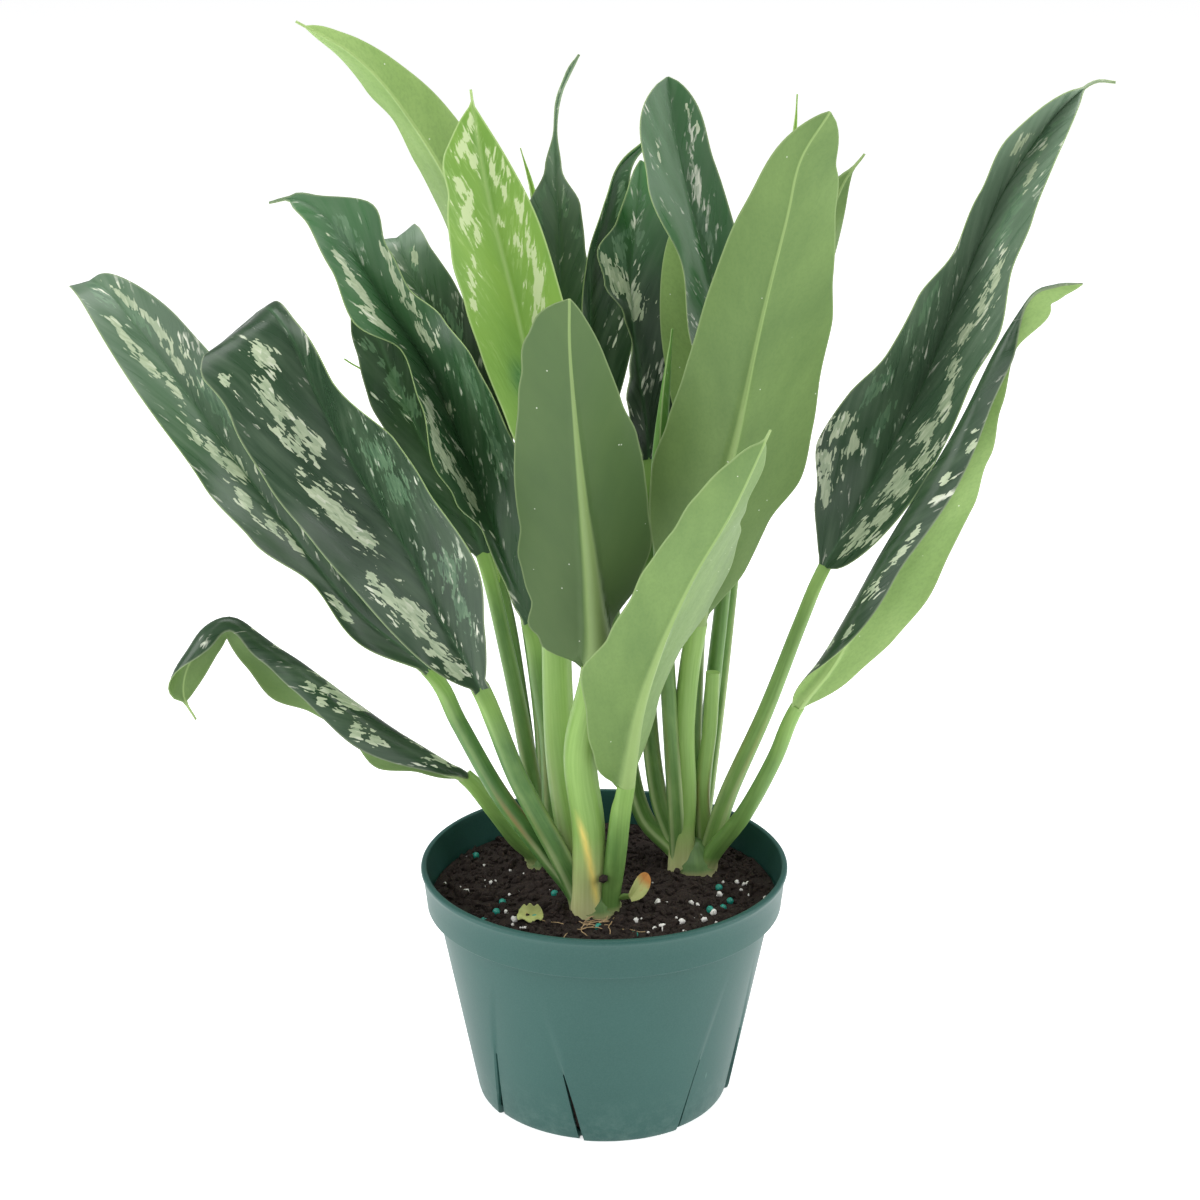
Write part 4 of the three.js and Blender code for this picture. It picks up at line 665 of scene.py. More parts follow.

# %% [markdown]
# ## What is special about each leaf
# cream lists the pale patches of a leaf, and a second list its dim green ones: share of its length, place
# across (-1 is the left edge, 0 the rib and 1 the right edge), then how long and how wide, in the same
# shares.
# The dim green patches are partly the leaf's own colour and partly pale patches painted darker, as painted
# shade. tone is 0 for an old dark leaf and 1 for a young one, and under is the same for its underside. The
# grey veil is painted sheen on the upper side; the same value paints a darker green on a young leaf and sets
# how far the tip of the dry bract turns orange. shade is painted shade that darkens the underside.

# %% Marks of each leaf
UNSEEN_CREAM = [(0.12, 0.5, 0.03, 0.15), (0.2, -0.5, 0.04, 0.18), (0.25, 0.4, 0.04, 0.18),
    (0.31, -0.4, 0.04, 0.16), (0.38, 0.55, 0.04, 0.16), (0.45, -0.55, 0.04, 0.18), (0.52, 0.45, 0.04, 0.16),
    (0.6, -0.45, 0.04, 0.14), (0.66, 0.5, 0.04, 0.16), (0.75, -0.4, 0.03, 0.14), (0.83, 0.3, 0.03, 0.14)]
PLAIN_LOOK = dict(skin="old", cream=UNSEEN_CREAM, jade_and_shade=[], wear_and_sheen=[], tone=0.1, under=None, grey_sheen_and_tint=0.0,
                  shade=0.0, pleats=1.0)
HALO = (0.4, 5.0)  # around every patch, how strong and how many times wider its loose flecks are
LEAF_LOOKS = {
    "leaf_left": dict(
        cream=[(0.82, -0.8, 0.02, 0.07), (0.84, -0.35, 0.03, 0.1), (0.76, -0.52, 0.035, 0.09),
            (0.72, -0.5, 0.04, 0.12), (0.67, -0.42, 0.035, 0.14), (0.63, -0.3, 0.03, 0.1),
            (0.6, -0.62, 0.03, 0.06), (0.56, -0.55, 0.03, 0.1), (0.52, -0.5, 0.04, 0.17),
            (0.48, -0.48, 0.035, 0.2), (0.42, -0.38, 0.03, 0.13), (0.35, -0.68, 0.03, 0.08),
            (0.3, -0.6, 0.03, 0.13), (0.25, -0.5, 0.04, 0.17), (0.2, -0.5, 0.04, 0.2),
            (0.14, -0.45, 0.04, 0.24), (0.08, -0.55, 0.04, 0.3)],
        jade_and_shade=[(0.58, 0.5, 0.05, 0.2), (0.5, 0.5, 0.05, 0.25), (0.3, 0.5, 0.05, 0.2),
            (0.2, 0.5, 0.05, 0.15)], tone=0.1,
    ),
    "leaf_far_left": dict(
        cream=[(0.78, -0.45, 0.05, 0.12), (0.73, -0.35, 0.04, 0.12), (0.66, -0.18, 0.04, 0.1),
            (0.58, -0.45, 0.03, 0.1), (0.53, -0.32, 0.03, 0.13), (0.49, -0.15, 0.035, 0.2),
            (0.44, -0.42, 0.03, 0.12), (0.38, -0.32, 0.04, 0.13), (0.33, -0.18, 0.03, 0.13),
            (0.18, -0.5, 0.03, 0.2), (0.7, 0.25, 0.05, 0.1), (0.77, 0.4, 0.06, 0.12),
            (0.84, 0.3, 0.04, 0.15)],
        jade_and_shade=[(0.87, -0.25, 0.05, 0.3), (0.8, 0.2, 0.06, 0.2), (0.6, 0.35, 0.06, 0.15)],
        tone=[0.1, 0.15, 0.3, 0.35], grey_sheen_and_tint=[0, 0, 0.15, 0.3, 0.5],
    ),
    "leaf_upper_left": dict(
        cream=[(0.78, -0.5, 0.05, 0.12), (0.72, -0.4, 0.05, 0.12), (0.66, -0.55, 0.04, 0.1),
            (0.76, 0.85, 0.04, 0.14), (0.71, 0.75, 0.04, 0.16), (0.66, 0.55, 0.04, 0.15),
            (0.61, 0.35, 0.04, 0.13), (0.47, -0.75, 0.04, 0.13), (0.42, -0.7, 0.04, 0.18),
            (0.37, -0.6, 0.04, 0.22), (0.32, -0.55, 0.04, 0.18), (0.27, -0.45, 0.04, 0.18),
            (0.45, 0.05, 0.02, 0.1)],
        jade_and_shade=[(0.35, 0.6, 0.06, 0.2), (0.5, 0.7, 0.05, 0.2), (0.84, 0.1, 0.05, 0.3)],
        tone=[0.3, 0.25, 0.3, 0.5, 0.7], grey_sheen_and_tint=[0, 0, 0.05, 0.1, 0.2],
    ),
    "leaf_upper_left_behind": dict(
        jade_and_shade=[(0.79, -0.35, 0.04, 0.2), (0.72, -0.25, 0.03, 0.2), (0.66, -0.05, 0.03, 0.3),
            (0.61, -0.15, 0.03, 0.3), (0.57, 0, 0.03, 0.2), (0.53, 0.1, 0.03, 0.1),
            (0.8, -0.6, 0.02, 0.08)], cream=[], tone=0.15,
    ),
    "leaf_behind_left": dict(
        jade_and_shade=[(0.56, 0.45, 0.05, 0.16), (0.6, 0.4, 0.04, 0.14), (0.52, 0.5, 0.04, 0.14),
            (0.8, 0.3, 0.03, 0.14), (0.77, 0.2, 0.02, 0.1)],
        cream=[(0.22, -0.75, 0.05, 0.12), (0.27, -0.85, 0.05, 0.1), (0.8, 0.35, 0.02, 0.12)],
        tone=[0, 0, 0, 0.3, 0.4], grey_sheen_and_tint=[0, 0, 0, 0, 0, 0, 0.1, 0.3, 0.9, 1],
    ),
    "leaf_far_right": dict(
        cream=[(0.24, -0.82, 0.03, 0.12), (0.17, -0.8, 0.03, 0.13), (0.08, 0.5, 0.035, 0.3),
            (0.13, 0.62, 0.03, 0.18), (0.17, 0.4, 0.03, 0.15), (0.2, 0.55, 0.035, 0.24),
            (0.25, 0.75, 0.03, 0.14), (0.3, 0.5, 0.03, 0.18), (0.36, 0.62, 0.035, 0.13),
            (0.41, 0.45, 0.03, 0.1), (0.47, 0.38, 0.03, 0.12), (0.53, 0.5, 0.03, 0.1),
            (0.58, 0.65, 0.04, 0.1), (0.8, -0.45, 0.03, 0.15), (0.77, 0.45, 0.04, 0.12),
            (0.12, -0.75, 0.03, 0.14), (0.21, -0.55, 0.03, 0.12)],
        jade_and_shade=[(0.33, -0.7, 0.05, 0.14), (0.28, -0.3, 0.05, 0.1), (0.5, -0.7, 0.05, 0.15),
            (0.7, 0.4, 0.1, 0.2), (0.82, 0.1, 0.06, 0.4)], tone=[0.15, 0.15, 0.2, 0.3, 0.3],
        grey_sheen_and_tint=[0, 0.05, 0.15, 0.3, 0.5, 0.7, 0.9],
    ),
    "leaf_right": dict(
        cream=[(0.1, 0.8, 0.025, 0.09), (0.165, 0.7, 0.025, 0.09), (0.22, 0.85, 0.025, 0.09),
            (0.31, 0.7, 0.025, 0.08), (0.4, 0.82, 0.025, 0.08), (0.44, 0.85, 0.02, 0.08),
            (0.56, 0.75, 0.02, 0.07), (0.635, 0.9, 0.02, 0.07)], tone=0.1, under=0.5,
    ),
    # The shade value of this leaf is painted shade on its underside.
    "leaf_low_left": dict(
        cream=[(0.455, -0.35, 0.03, 0.2), (0.42, -0.4, 0.03, 0.25), (0.38, -0.5, 0.03, 0.2),
            (0.35, -0.45, 0.03, 0.2), (0.43, -0.8, 0.02, 0.1), (0.47, -0.75, 0.02, 0.1),
            (0.66, -0.3, 0.025, 0.1), (0.585, -0.35, 0.025, 0.1), (0.57, -0.3, 0.02, 0.1),
            (0.32, -0.8, 0.02, 0.12), (0.27, -0.75, 0.02, 0.12), (0.21, -0.35, 0.02, 0.12),
            (0.18, -0.4, 0.02, 0.12), (0.1, -0.6, 0.03, 0.15), (0.09, -0.5, 0.03, 0.15),
            (0.05, -0.4, 0.03, 0.2)], shade=0.2,
    ),
    "leaf_pale_top": dict(
        skin="young", tone=1.0, cream=[(0.45, 0.4, 0.15, 0.2), (0.7, -0.2, 0.1, 0.2)],
        under=[0.2, 0.2, 0.2, 0.25, 0.5, 0.6, 0.85],
    ),
    "leaf_bright": dict(
        cream=[(0.92, -0.3, 0.03, 0.3), (0.87, -0.5, 0.03, 0.2), (0.83, -0.2, 0.02, 0.1),
            (0.78, -0.6, 0.03, 0.2), (0.74, -0.45, 0.04, 0.1), (0.7, -0.6, 0.04, 0.12),
            (0.66, -0.4, 0.03, 0.08), (0.85, 0.35, 0.03, 0.1), (0.8, 0.3, 0.04, 0.1),
            (0.75, 0.45, 0.04, 0.1), (0.79, 0.8, 0.03, 0.1), (0.7, 0.7, 0.03, 0.08),
            (0.62, 0.4, 0.03, 0.08), (0.58, 0.62, 0.04, 0.09), (0.53, 0.6, 0.04, 0.1),
            (0.48, 0.5, 0.04, 0.14), (0.44, 0.35, 0.03, 0.1), (0.68, 0.15, 0.02, 0.07),
            (0.5, -0.85, 0.03, 0.05), (0.55, -0.75, 0.03, 0.05), (0.6, -0.6, 0.03, 0.05)],
        jade_and_shade=[(0.3, -0.25, 0.06, 0.35), (0.2, 0, 0.06, 0.4)], skin="young", tone=1.0, pleats=0.6,
        grey_sheen_and_tint=[0, 0, 0, 0.1, 0.25, 0.1],
    ),
    "leaf_inner_right": dict(skin="young", tone=0.3, cream=[]),
    "leaf_top": dict(
        cream=[(0.9, 0.6, 0.02, 0.06), (0.85, 0.75, 0.02, 0.05), (0.8, -0.6, 0.03, 0.05)],
        jade_and_shade=[(0.6, 0.15, 0.05, 0.2), (0.55, 0.2, 0.04, 0.15)],
        wear_and_sheen=[(0.74, 0.35, 0.06, 0.08), (0.67, 0.25, 0.04, 0.1), (0.82, 0.5, 0.04, 0.06)],
        tone=[0.3, 0.4, 0.55, 0.55, 0.5],
    ),
    "leaf_back_right": dict(
        cream=[(0.66, -0.8, 0.03, 0.25), (0.62, -0.6, 0.04, 0.4), (0.58, -0.4, 0.03, 0.4),
            (0.54, -0.1, 0.03, 0.35), (0.5, 0, 0.03, 0.2)],
        jade_and_shade=[(0.75, -0.45, 0.04, 0.3), (0.7, -0.35, 0.05, 0.25), (0.65, -0.3, 0.04, 0.2),
            (0.89, 0.05, 0.03, 0.15), (0.75, 0.1, 0.03, 0.1)], tone=[0, 0, 0.1, 0.4, 0.9],
    ),
    "leaf_back": dict(
        jade_and_shade=[(0.6, 0.35, 0.03, 0.15), (0.53, 0.75, 0.02, 0.12), (0.63, -0.6, 0.03, 0.2),
            (0.58, -0.55, 0.04, 0.12)], cream=[], tone=[0.3, 0.3, 0.3, 0.3, 0.3, 1, 1],
        grey_sheen_and_tint=[0.1, 0.1, 0.15, 0.25, 0.35, 0.6, 0.6],
    ),
    "leaf_back_narrow": dict(
        cream=[], jade_and_shade=[(0.72, 0.5, 0.08, 0.3), (0.62, 0.5, 0.06, 0.2)], tone=[0.1, 0.1, 0.1, 0.3, 1],
    ),
    # On leaf_front, leaf_tall and leaf_front_right the shade value is painted shade on the underside.
    "leaf_front": dict(shade=0.68, pleats=0.3),
    # On the dry bract that value sets how far its tip turns orange.
    "dry_bract": dict(grey_sheen_and_tint=1.0),
    "leaf_tall": dict(shade=0.16, pleats=0.4),
    "leaf_front_right": dict(shade=0.1, pleats=0.3),
}


def shares_of(patches, t, place):
    """How much of a leaf's patches there is at shares t of its length and at a place across it."""
    amount = np.zeros_like(t)
    for at, middle, long, wide in patches:
        far = ((t - at) / long) ** 2 + ((place - middle) / wide) ** 2
        amount = np.maximum(amount, np.maximum(np.exp(-far), HALO[0] * np.exp(-far / HALO[1])))
    return amount


# %% Shape helpers
def half_width(leaf, t, fullness):
    """Half the width of a blade: a rounded body between a narrow neck and a thin tail."""
    body = np.minimum(t / (1 - leaf["drip"]), 1)
    rise, fall = leaf["taper"] * leaf["widest"], leaf["taper"] * (1 - leaf["widest"])
    shape = (body / leaf["widest"]) ** rise * ((1 - body) / (1 - leaf["widest"])) ** fall
    neck = leaf["stalk_radius"][1] * np.maximum(1 - 4 * t, 0)
    tail = 0.5 + TAIL_HALF_WIDTH * (1 - t)
    return np.maximum(np.maximum(leaf["width"] / 2 * shape * fullness, neck), tail)


def across_half(fold, curl, share):
    """Place across one half, 0 at the rib and 1 at the edge: how far out, how far up, and the slope there."""
    start = np.radians(fold)
    bend = np.radians(curl)
    bend = np.where(np.abs(bend) < 1e-6, 1e-6, bend)
    end = start + bend * share
    return (np.sin(end) - np.sin(start)) / bend, (np.cos(start) - np.cos(end)) / bend, end


def ring_faces(rings, sides):
    """Four-sided faces of a tube of rings of points, and a flat end at each end."""
    i, j = np.meshgrid(np.arange(rings - 1) * sides, np.arange(sides), indexing="ij")
    after = (j + 1) % sides
    quads = np.stack([i + j, i + after, i + after + sides, i + j + sides], axis=-1).reshape(-1, 4)
    return [*quads.tolist(), list(range(sides))[::-1], list(range((rings - 1) * sides, rings * sides))]


def grid_faces(rows, columns, first=0, flip=False):
    """Four-sided faces of a grid of points, row by row."""
    i, j = np.meshgrid(np.arange(rows - 1), np.arange(columns - 1), indexing="ij")
    a = (first + i * columns + j).ravel()
    quads = np.stack([a, a + 1, a + columns + 1, a + columns], axis=1)
    return quads[:, ::-1] if flip else quads


def grow_blade(name, leaf, stations, seed):
    """The two skins of a blade with their stored values. stations are points, forward and up directions."""
    point, forward, up = stations
    rows = len(point)
    t = np.linspace(0, 1, rows)
    side = np.cross(forward, up)
    length = np.concatenate([[0], np.cumsum(np.linalg.norm(np.diff(point, axis=0), axis=1))])
    shares = (np.arange(COLUMNS) / (COLUMNS - 1)) ** COLUMN_CROWDING
    height, waves, phase = leaf["wave"]
    swell = height * np.sin(np.pi * t) ** 0.6
    rib_width = 0.6 + (leaf["stalk_radius"][1] - 0.8) * (1 - t) ** 2.2
    rib_depth = 0.2 + (leaf["stalk_radius"][1] - 0.6) * (1 - t) ** 2
    look = {**PLAIN_LOOK, **LEAF_LOOKS.get(name, {})}
    pleat_height = look["pleats"] * PLEAT_HEIGHT * np.sin(np.pi * np.clip(t, 0.02, 0.98)) ** 0.5
    tops, bottoms = [], []
    values = {"veins": [], "place": [], "marks": [], "look": [], "under_look": []}
    for column in range(-(COLUMNS - 1), COLUMNS):
        sign, share = (-1 if column < 0 else 1), shares[abs(column)]
        fold, curl, *fullness = leaf["left"] if sign < 0 else leaf["right"]
        half = half_width(leaf, t, eased(fullness[0] if fullness else 1, t))
        out, rise, slope = across_half(eased(fold, t), eased(curl, t), share)
        ripple = swell * share**2 * np.sin(2 * np.pi * (waves * t + phase + 0.2 * sign))
        across = half * share
        spots = zip(length / PLEAT_SIZE[0], sign * across / PLEAT_SIZE[1] + 31 * seed)
        pleat = np.array([noise.noise(Vector((along, away, 7.3 * sign))) for along, away in spots])
        rise = half * rise + ripple + pleat_height * np.minimum(across / PLEAT_START, 1) * pleat
        middle = point + side * (sign * half * out)[:, None] + up * rise[:, None]
        if column == 0:
            outward = up
        else:
            outward = up * np.cos(slope)[:, None] - side * (sign * np.sin(slope))[:, None]
        thick = LEAF_THICKNESS / 2 + (RIM_THICKNESS - LEAF_THICKNESS) / 2 * share**3
        ridge = rib_depth * np.maximum(1 - (across / rib_width) ** 2, 0) ** 0.7
        groove = np.minimum(rib_depth, GROOVE_DEPTH) * np.exp(-((across / GROOVE_WIDTH) ** 2))
        groove = groove * np.minimum(8 * t, 1)
        tops.append(middle + outward * (thick - groove)[:, None])
        bottoms.append(middle - outward * (thick + ridge)[:, None])
        along_vein = length * math.cos(VEIN_ANGLE) + across * math.sin(VEIN_ANGLE)
        over_veins = across * math.cos(VEIN_ANGLE) - length * math.sin(VEIN_ANGLE)
        values["veins"].append([along_vein, over_veins, np.full(rows, seed * 7.0 + sign * 1.5)])
        values["place"].append([across, half - across, length])
        values["marks"].append([shares_of(look[key], t, sign * share) for key in ("cream", "jade_and_shade", "wear_and_sheen")])
        values["look"].append([eased(look["tone"], t), rib_width, eased(look["grey_sheen_and_tint"], t)])
        under_tone = look["tone"] if look["under"] is None else look["under"]
        values["under_look"].append([eased(under_tone, t), rib_width, eased(look["shade"], t)])
    wide = 2 * COLUMNS - 1
    top, bottom = (np.stack(part, axis=1).reshape(-1, 3) for part in (tops, bottoms))
    fields = {key: np.tile(np.array(part).transpose(2, 0, 1).reshape(-1, 3), (2, 1))
              for key, part in values.items()}
    count = rows * wide
    rim = np.concatenate([np.arange(wide), wide - 1 + wide * np.arange(1, rows),
                          count - 2 - np.arange(wide - 1), wide * np.arange(rows - 2, 0, -1)])
    after = np.roll(rim, -1)
    rim_faces = np.stack([after, rim, rim + count, after + count], axis=1)
    faces = np.vstack([grid_faces(rows, wide), grid_faces(rows, wide, count, flip=True), rim_faces])
    skins = np.repeat([0, 1, 1], [(rows - 1) * (wide - 1)] * 2 + [len(rim_faces)])
    points = np.vstack([top, bottom])
    materials = [young_skin if look["skin"] == "young" else upper, under]
    return make_object(name + "_blade", points, faces, materials, skins, fields, sharp=60)


# %% Grow the blades
def stand_for(piece, node):
    """The piece rides with the plant and is shown in place of the plain solid."""
    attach(piece, "root")
    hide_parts(node)
    return piece


faces_made = 0
for seed, (name, leaf) in enumerate(LEAVES.items()):
    line, start = whole_line(**leaf)
    rows = round(line.length * (1 - start) / (STATION_STEP if line.length > SHORT_LEAF else SHORT_STEP)) + 1
    shares = np.linspace(start + STALK_TO_BLADE / line.length, 1, rows)
    forward = line.forward(shares)
    blade = grow_blade(name, leaf, (line.at(shares), forward, carried(leaf["face"], forward)), seed)
    stand_for(blade, name)
    faces_made += len(blade.data.polygons)
print("blades:", len(LEAVES), "with", faces_made, "faces")

# %% [markdown]
# ## Stalks
# Every leaf sits on a long fleshy stalk. Its lower part is a sheath that wraps the next one, so a stalk is
# round outside and has a channel with pale, thin lips inside. A stalk is a ring of points carried along the
# same line as its blade, and the channel turns with the leaf's upper side. All stalks of a shoot grow out
# of one short stem.

# %% Stalk finish: fleshy green stem, paler at the foot and at the lips of its channel
FIBRE_SIZE = (30, 1.1, 1)
BLOTCH_SIZE = (12, 6, 1)

flesh, tree, surface = new_material("fleshy_stalk_skin", roughness=0.4, ior=1.42)
around, place, look = read_stored(tree, "place", "look")
fibres = add(tree, "noise", sized(tree, around, FIBRE_SIZE))
blotch = add(tree, "noise", sized(tree, around, BLOTCH_SIZE))
skin = painted(
    tree, add(tree, "mix", fibres, "#7ba24c", "#9dc26a"),
    # Darker green, partly the stalk's own colour and partly painted shade in the crown.
    (look["X"], add(tree, "mix", fibres, "#2f5829", "#507d3c")),
    (add(tree, "range", blotch, 0.45, 0.75, 0.0, 0.2), "#9cbd6a"),
    (add(tree, "range", place["Z"], 0.0, look["Z"], 0.9, 0.0),
     add(tree, "mix", fibres, "#b9b57c", "#d6d3a4")),
    (place["X"], "#c8d6a0"),
    (place["Y"], "#8a6a3c"),
    (look["Y"], add(tree, "mix", fibres, "#e3cf5a", "#f0e08a")),
)
dress(tree, surface, skin, add(tree, "range", fibres, 0, 1, 0.34, 0.52),
      Strength=0.35, Distance=0.3 * MM, Height=fibres)
print("stalk finish:", flesh.name)

# %% Stalk sizes
STALK_SIDES = 28
STALK_STEP = 4.0
STALK_TAPER = 1.5  # power of the fall from the radius at the foot to that at the blade
CHANNEL_WIDTH = 0.55  # radians from the middle of the channel to a lip
CHANNEL_DEPTH = 0.34  # share of the stalk's radius
OPEN_CHANNEL = 0.35  # share of its depth that is left over the sheath
LIP_WIDTH = 0.22  # radians
LIP_HEIGHT = 0.07  # share of the stalk's radius
LIP_PALE = (0.12, 0.38)  # how pale a lip is, and how much more on the sheath
BLADE_FLATTEN = 14.0  # length over which a stalk's upper side sinks into its blade
LEAST_LIFT = 0.12
SHEATH_SHARE = 0.45  # of a stalk's length
SHEATH_END = 0.12  # share of its length over which the sheath ends
TORN_LENGTH = 0.1  # of the torn brown edge, in the same shares
PALE_NECK = 30.0  # length over which a dark stalk pales toward its blade
LEAST_DARK = 0.35
SCAR_SWELL = 0.1
STRIPE_WIDTH = 0.2  # radians
STRIPE_FADE = (4, 10)  # millimetres at its foot and its top

# How dark a stalk is, is partly its own dark green and partly painted shade in the crown.
STALK_LOOKS = {  # how dark a stalk is, how brown its torn sheath is, and how far up its foot is pale
    "leaf_bright": (0.15, 0.0, 40), "leaf_front": (0.1, 0.0, 40), "leaf_tall": (0.2, 0.1, 26),
    "leaf_front_right": (0.7, 0.0, 6), "leaf_left": (0.9, 0.2, 8), "leaf_far_left": (0.95, 0.8, 8),
    "leaf_low_left": (0.6, 0.0, 8), "leaf_right": (0.6, 0.9, 10), "leaf_far_right": (0.5, 0.3, 10),
    "leaf_upper_left": (0.8, 0.3, 8), "cut": (0.2, 0.6, 8),
}
PLAIN_STALK = (0.75, 0.2, 8)
SCAR_HEIGHT = 21  # over the soil, of the ring left by a sheath that was cut away
STRIPES = {"leaf_front": (0.45, -1.15, 12, 52)}  # yellow: turn at its foot, turn over it, and its two ends


def grow_tube(line, to, radii, face, stalk_look, flatten=True, seed=0, scar=False, stripe=None):
    """The skin of a stalk up to share `to` of its line, as points, faces and stored values."""
    darkness, brown, pale_foot = stalk_look
    rows = max(round(line.length * to / STALK_STEP), 6)
    shares = np.linspace(0, to, rows)
    forward = line.forward(shares)
    up = carried(face, forward)
    side = np.cross(forward, up)
    done = shares * line.length
    left_over = to * line.length - done
    radius = radii[1] + (radii[0] - radii[1]) * (1 - shares / to) ** STALK_TAPER
    if scar:
        radius = radius * (1 + SCAR_SWELL * (line.at(shares)[:, 2] < SOIL_TOP + SCAR_HEIGHT))
    sheath = np.clip((SHEATH_SHARE - shares / to) / SHEATH_END, 0, 1)
    angles = 2 * np.pi * np.arange(STALK_SIDES) / STALK_SIDES
    from_channel = np.abs(np.angle(np.exp(1j * (angles - np.pi / 2))))
    sunk = CHANNEL_DEPTH * np.exp(-((from_channel / CHANNEL_WIDTH) ** 2))
    lip = np.exp(-(((from_channel - 1.5 * CHANNEL_WIDTH) / LIP_WIDTH) ** 2))
    depth = OPEN_CHANNEL + (1 - OPEN_CHANNEL) * sheath[:, None]
    profile = radius[:, None] * (1 - sunk * depth + LIP_HEIGHT * lip * depth)
    lift = np.clip(left_over / BLADE_FLATTEN, LEAST_LIFT, 1) if flatten else np.ones(rows)
    high = profile * np.sin(angles)
    high = np.where(high > 0, high * lift[:, None], high)
    points = (line.at(shares)[:, None] + side[:, None] * (profile * np.cos(angles))[..., None]
              + up[:, None] * high[..., None])
    full = np.ones((rows, STALK_SIDES))
    above = points[..., 2] - SOIL_TOP
    pale_lip = lip * (LIP_PALE[0] + LIP_PALE[1] * sheath[:, None])
    torn = brown * lip * np.exp(-(((shares / to - SHEATH_SHARE) / TORN_LENGTH) ** 2))[:, None]
    place = np.stack([pale_lip, torn, above], -1)
    yellow = full * 0
    if stripe:
        turn, twist, low, high = stripe
        to_right = np.angle(np.exp(-1j * (angles + np.pi / 2)))
        middle = turn + twist * (above - low) / (high - low)
        yellow = np.exp(-(((to_right - middle) / STRIPE_WIDTH) ** 2))
        yellow = yellow * np.clip((above - low) / STRIPE_FADE[0] + 1.5, 0, 1)
        yellow = yellow * np.clip((high - above) / STRIPE_FADE[1], 0, 1)
    fade = np.clip(left_over / PALE_NECK, LEAST_DARK, 1)[:, None] if flatten else 1
    look = np.stack([full * darkness * fade, yellow, full * pale_foot], -1)
    veins = np.stack([full * done[:, None], radius[:, None] * angles, full * seed], -1)
    return points.reshape(-1, 3), ring_faces(rows, STALK_SIDES), dict(
        place=place.reshape(-1, 3), look=look.reshape(-1, 3), veins=veins.reshape(-1, 3))


STEM_PROFILE = [(0.8, 72), (1, 78), (1, 92), (0.97, 95), (0.9, 96.5), (0.93, 98), (0.82, 99.5), (0.84, 101),
                (0.7, 103.5), (0.6, 107), (0.3, 110)]  # share of the stem's radius, and height
STEM_TOP = (0.6, 111)  # radius and height
STEM_SIDES = 40
STEM_SCAR = (97.2, 0.7, 0.5)  # height, half width and strength of a brown ring
STEM_PLACE, STEM_DARK, STEM_PALE_FOOT = 0.1, 1.0, 4


def grow_stem(x, y, radius):
    """The short stem that the stalks grow out of, with rings where old leaves were."""
    angles = 2 * np.pi * np.arange(STEM_SIDES) / STEM_SIDES
    wobble = 1 + 0.02 * np.sin(5 * angles) + 0.015 * np.sin(9 * angles + 1)
    points = np.array([[(x + r * w * math.cos(a), y + r * w * math.sin(a), z) for a, w in zip(angles, wobble)]
                       for r, z in [*((share * radius, z) for share, z in STEM_PROFILE), STEM_TOP]])
    full = np.ones(points.shape[:2])
    high, width, strength = STEM_SCAR
    scar = np.exp(-(((points[..., 2] - high) / width) ** 2)) * strength
    return points.reshape(-1, 3), ring_faces(len(points), STEM_SIDES), dict(
        place=np.stack([full * STEM_PLACE, scar, points[..., 2] - SOIL_TOP], -1).reshape(-1, 3),
        look=np.stack([full * STEM_DARK, full * 0, full * STEM_PALE_FOOT], -1).reshape(-1, 3),
        veins=np.stack([points[..., 2], full * angles * radius, full], -1).reshape(-1, 3))


# %% Grow the stalks
STALK_INTO_BLADE = 1.5
PLAIN_FACE = (0.1, -1, 0.1)

for shoot, (x, y, radius) in SHOOTS.items():
    parts = [grow_stem(x, y, radius)]
    for seed, (name, leaf) in enumerate([*LEAVES.items(), *ROLLED_LEAVES.items(), ("cut", CUT_STALK)]):
        if leaf["shoot"] != shoot:
            continue
        line, start = whole_line(**leaf)
        to = min(start + STALK_INTO_BLADE / line.length, 1)
        face = leaf.get("face", PLAIN_FACE)
        parts.append(grow_tube(line, to, leaf["stalk_radius"], face, STALK_LOOKS.get(name, PLAIN_STALK),
                               "face" in leaf, seed, name == "leaf_tall", STRIPES.get(name)))
    points, faces, fields = join_parts(parts)
    stalks = make_object(f"stalks_{shoot}", points, faces, [flesh], fields=fields, sharp=70)
    stand_for(stalks, f"shoot_{shoot}")
    print("stalks of the", shoot, "shoot:", len(parts) - 1)

# %% [markdown]
# ## Rolled young leaves
# A new leaf comes up as a tight roll that ends in a point. The roll is a spiral drawn as a ring of points
# whose radius steps down at one side, so that the outer edge shows as a thin lap along the spear.

# %% Rolled leaves
ROLL_SIDES = 26
ROLL_ROWS = 60
ROLL_LAP = 0.16  # share of its radius by which the outer edge of a roll stands out
ROLL_TWIST = (1.1, 1.3)  # radians that the lap is turned at the foot, and how much more at the tip
ROLL_TIP = 0.12  # share of the radius
ROLL_TONES = {"rolled_leaf_middle": 0.35}  # 1 is the palest
PLAIN_ROLL_TONE = 1.0
ROLL_CREAM = 0.3
NO_RIB = 9  # a distance that is far from any midrib

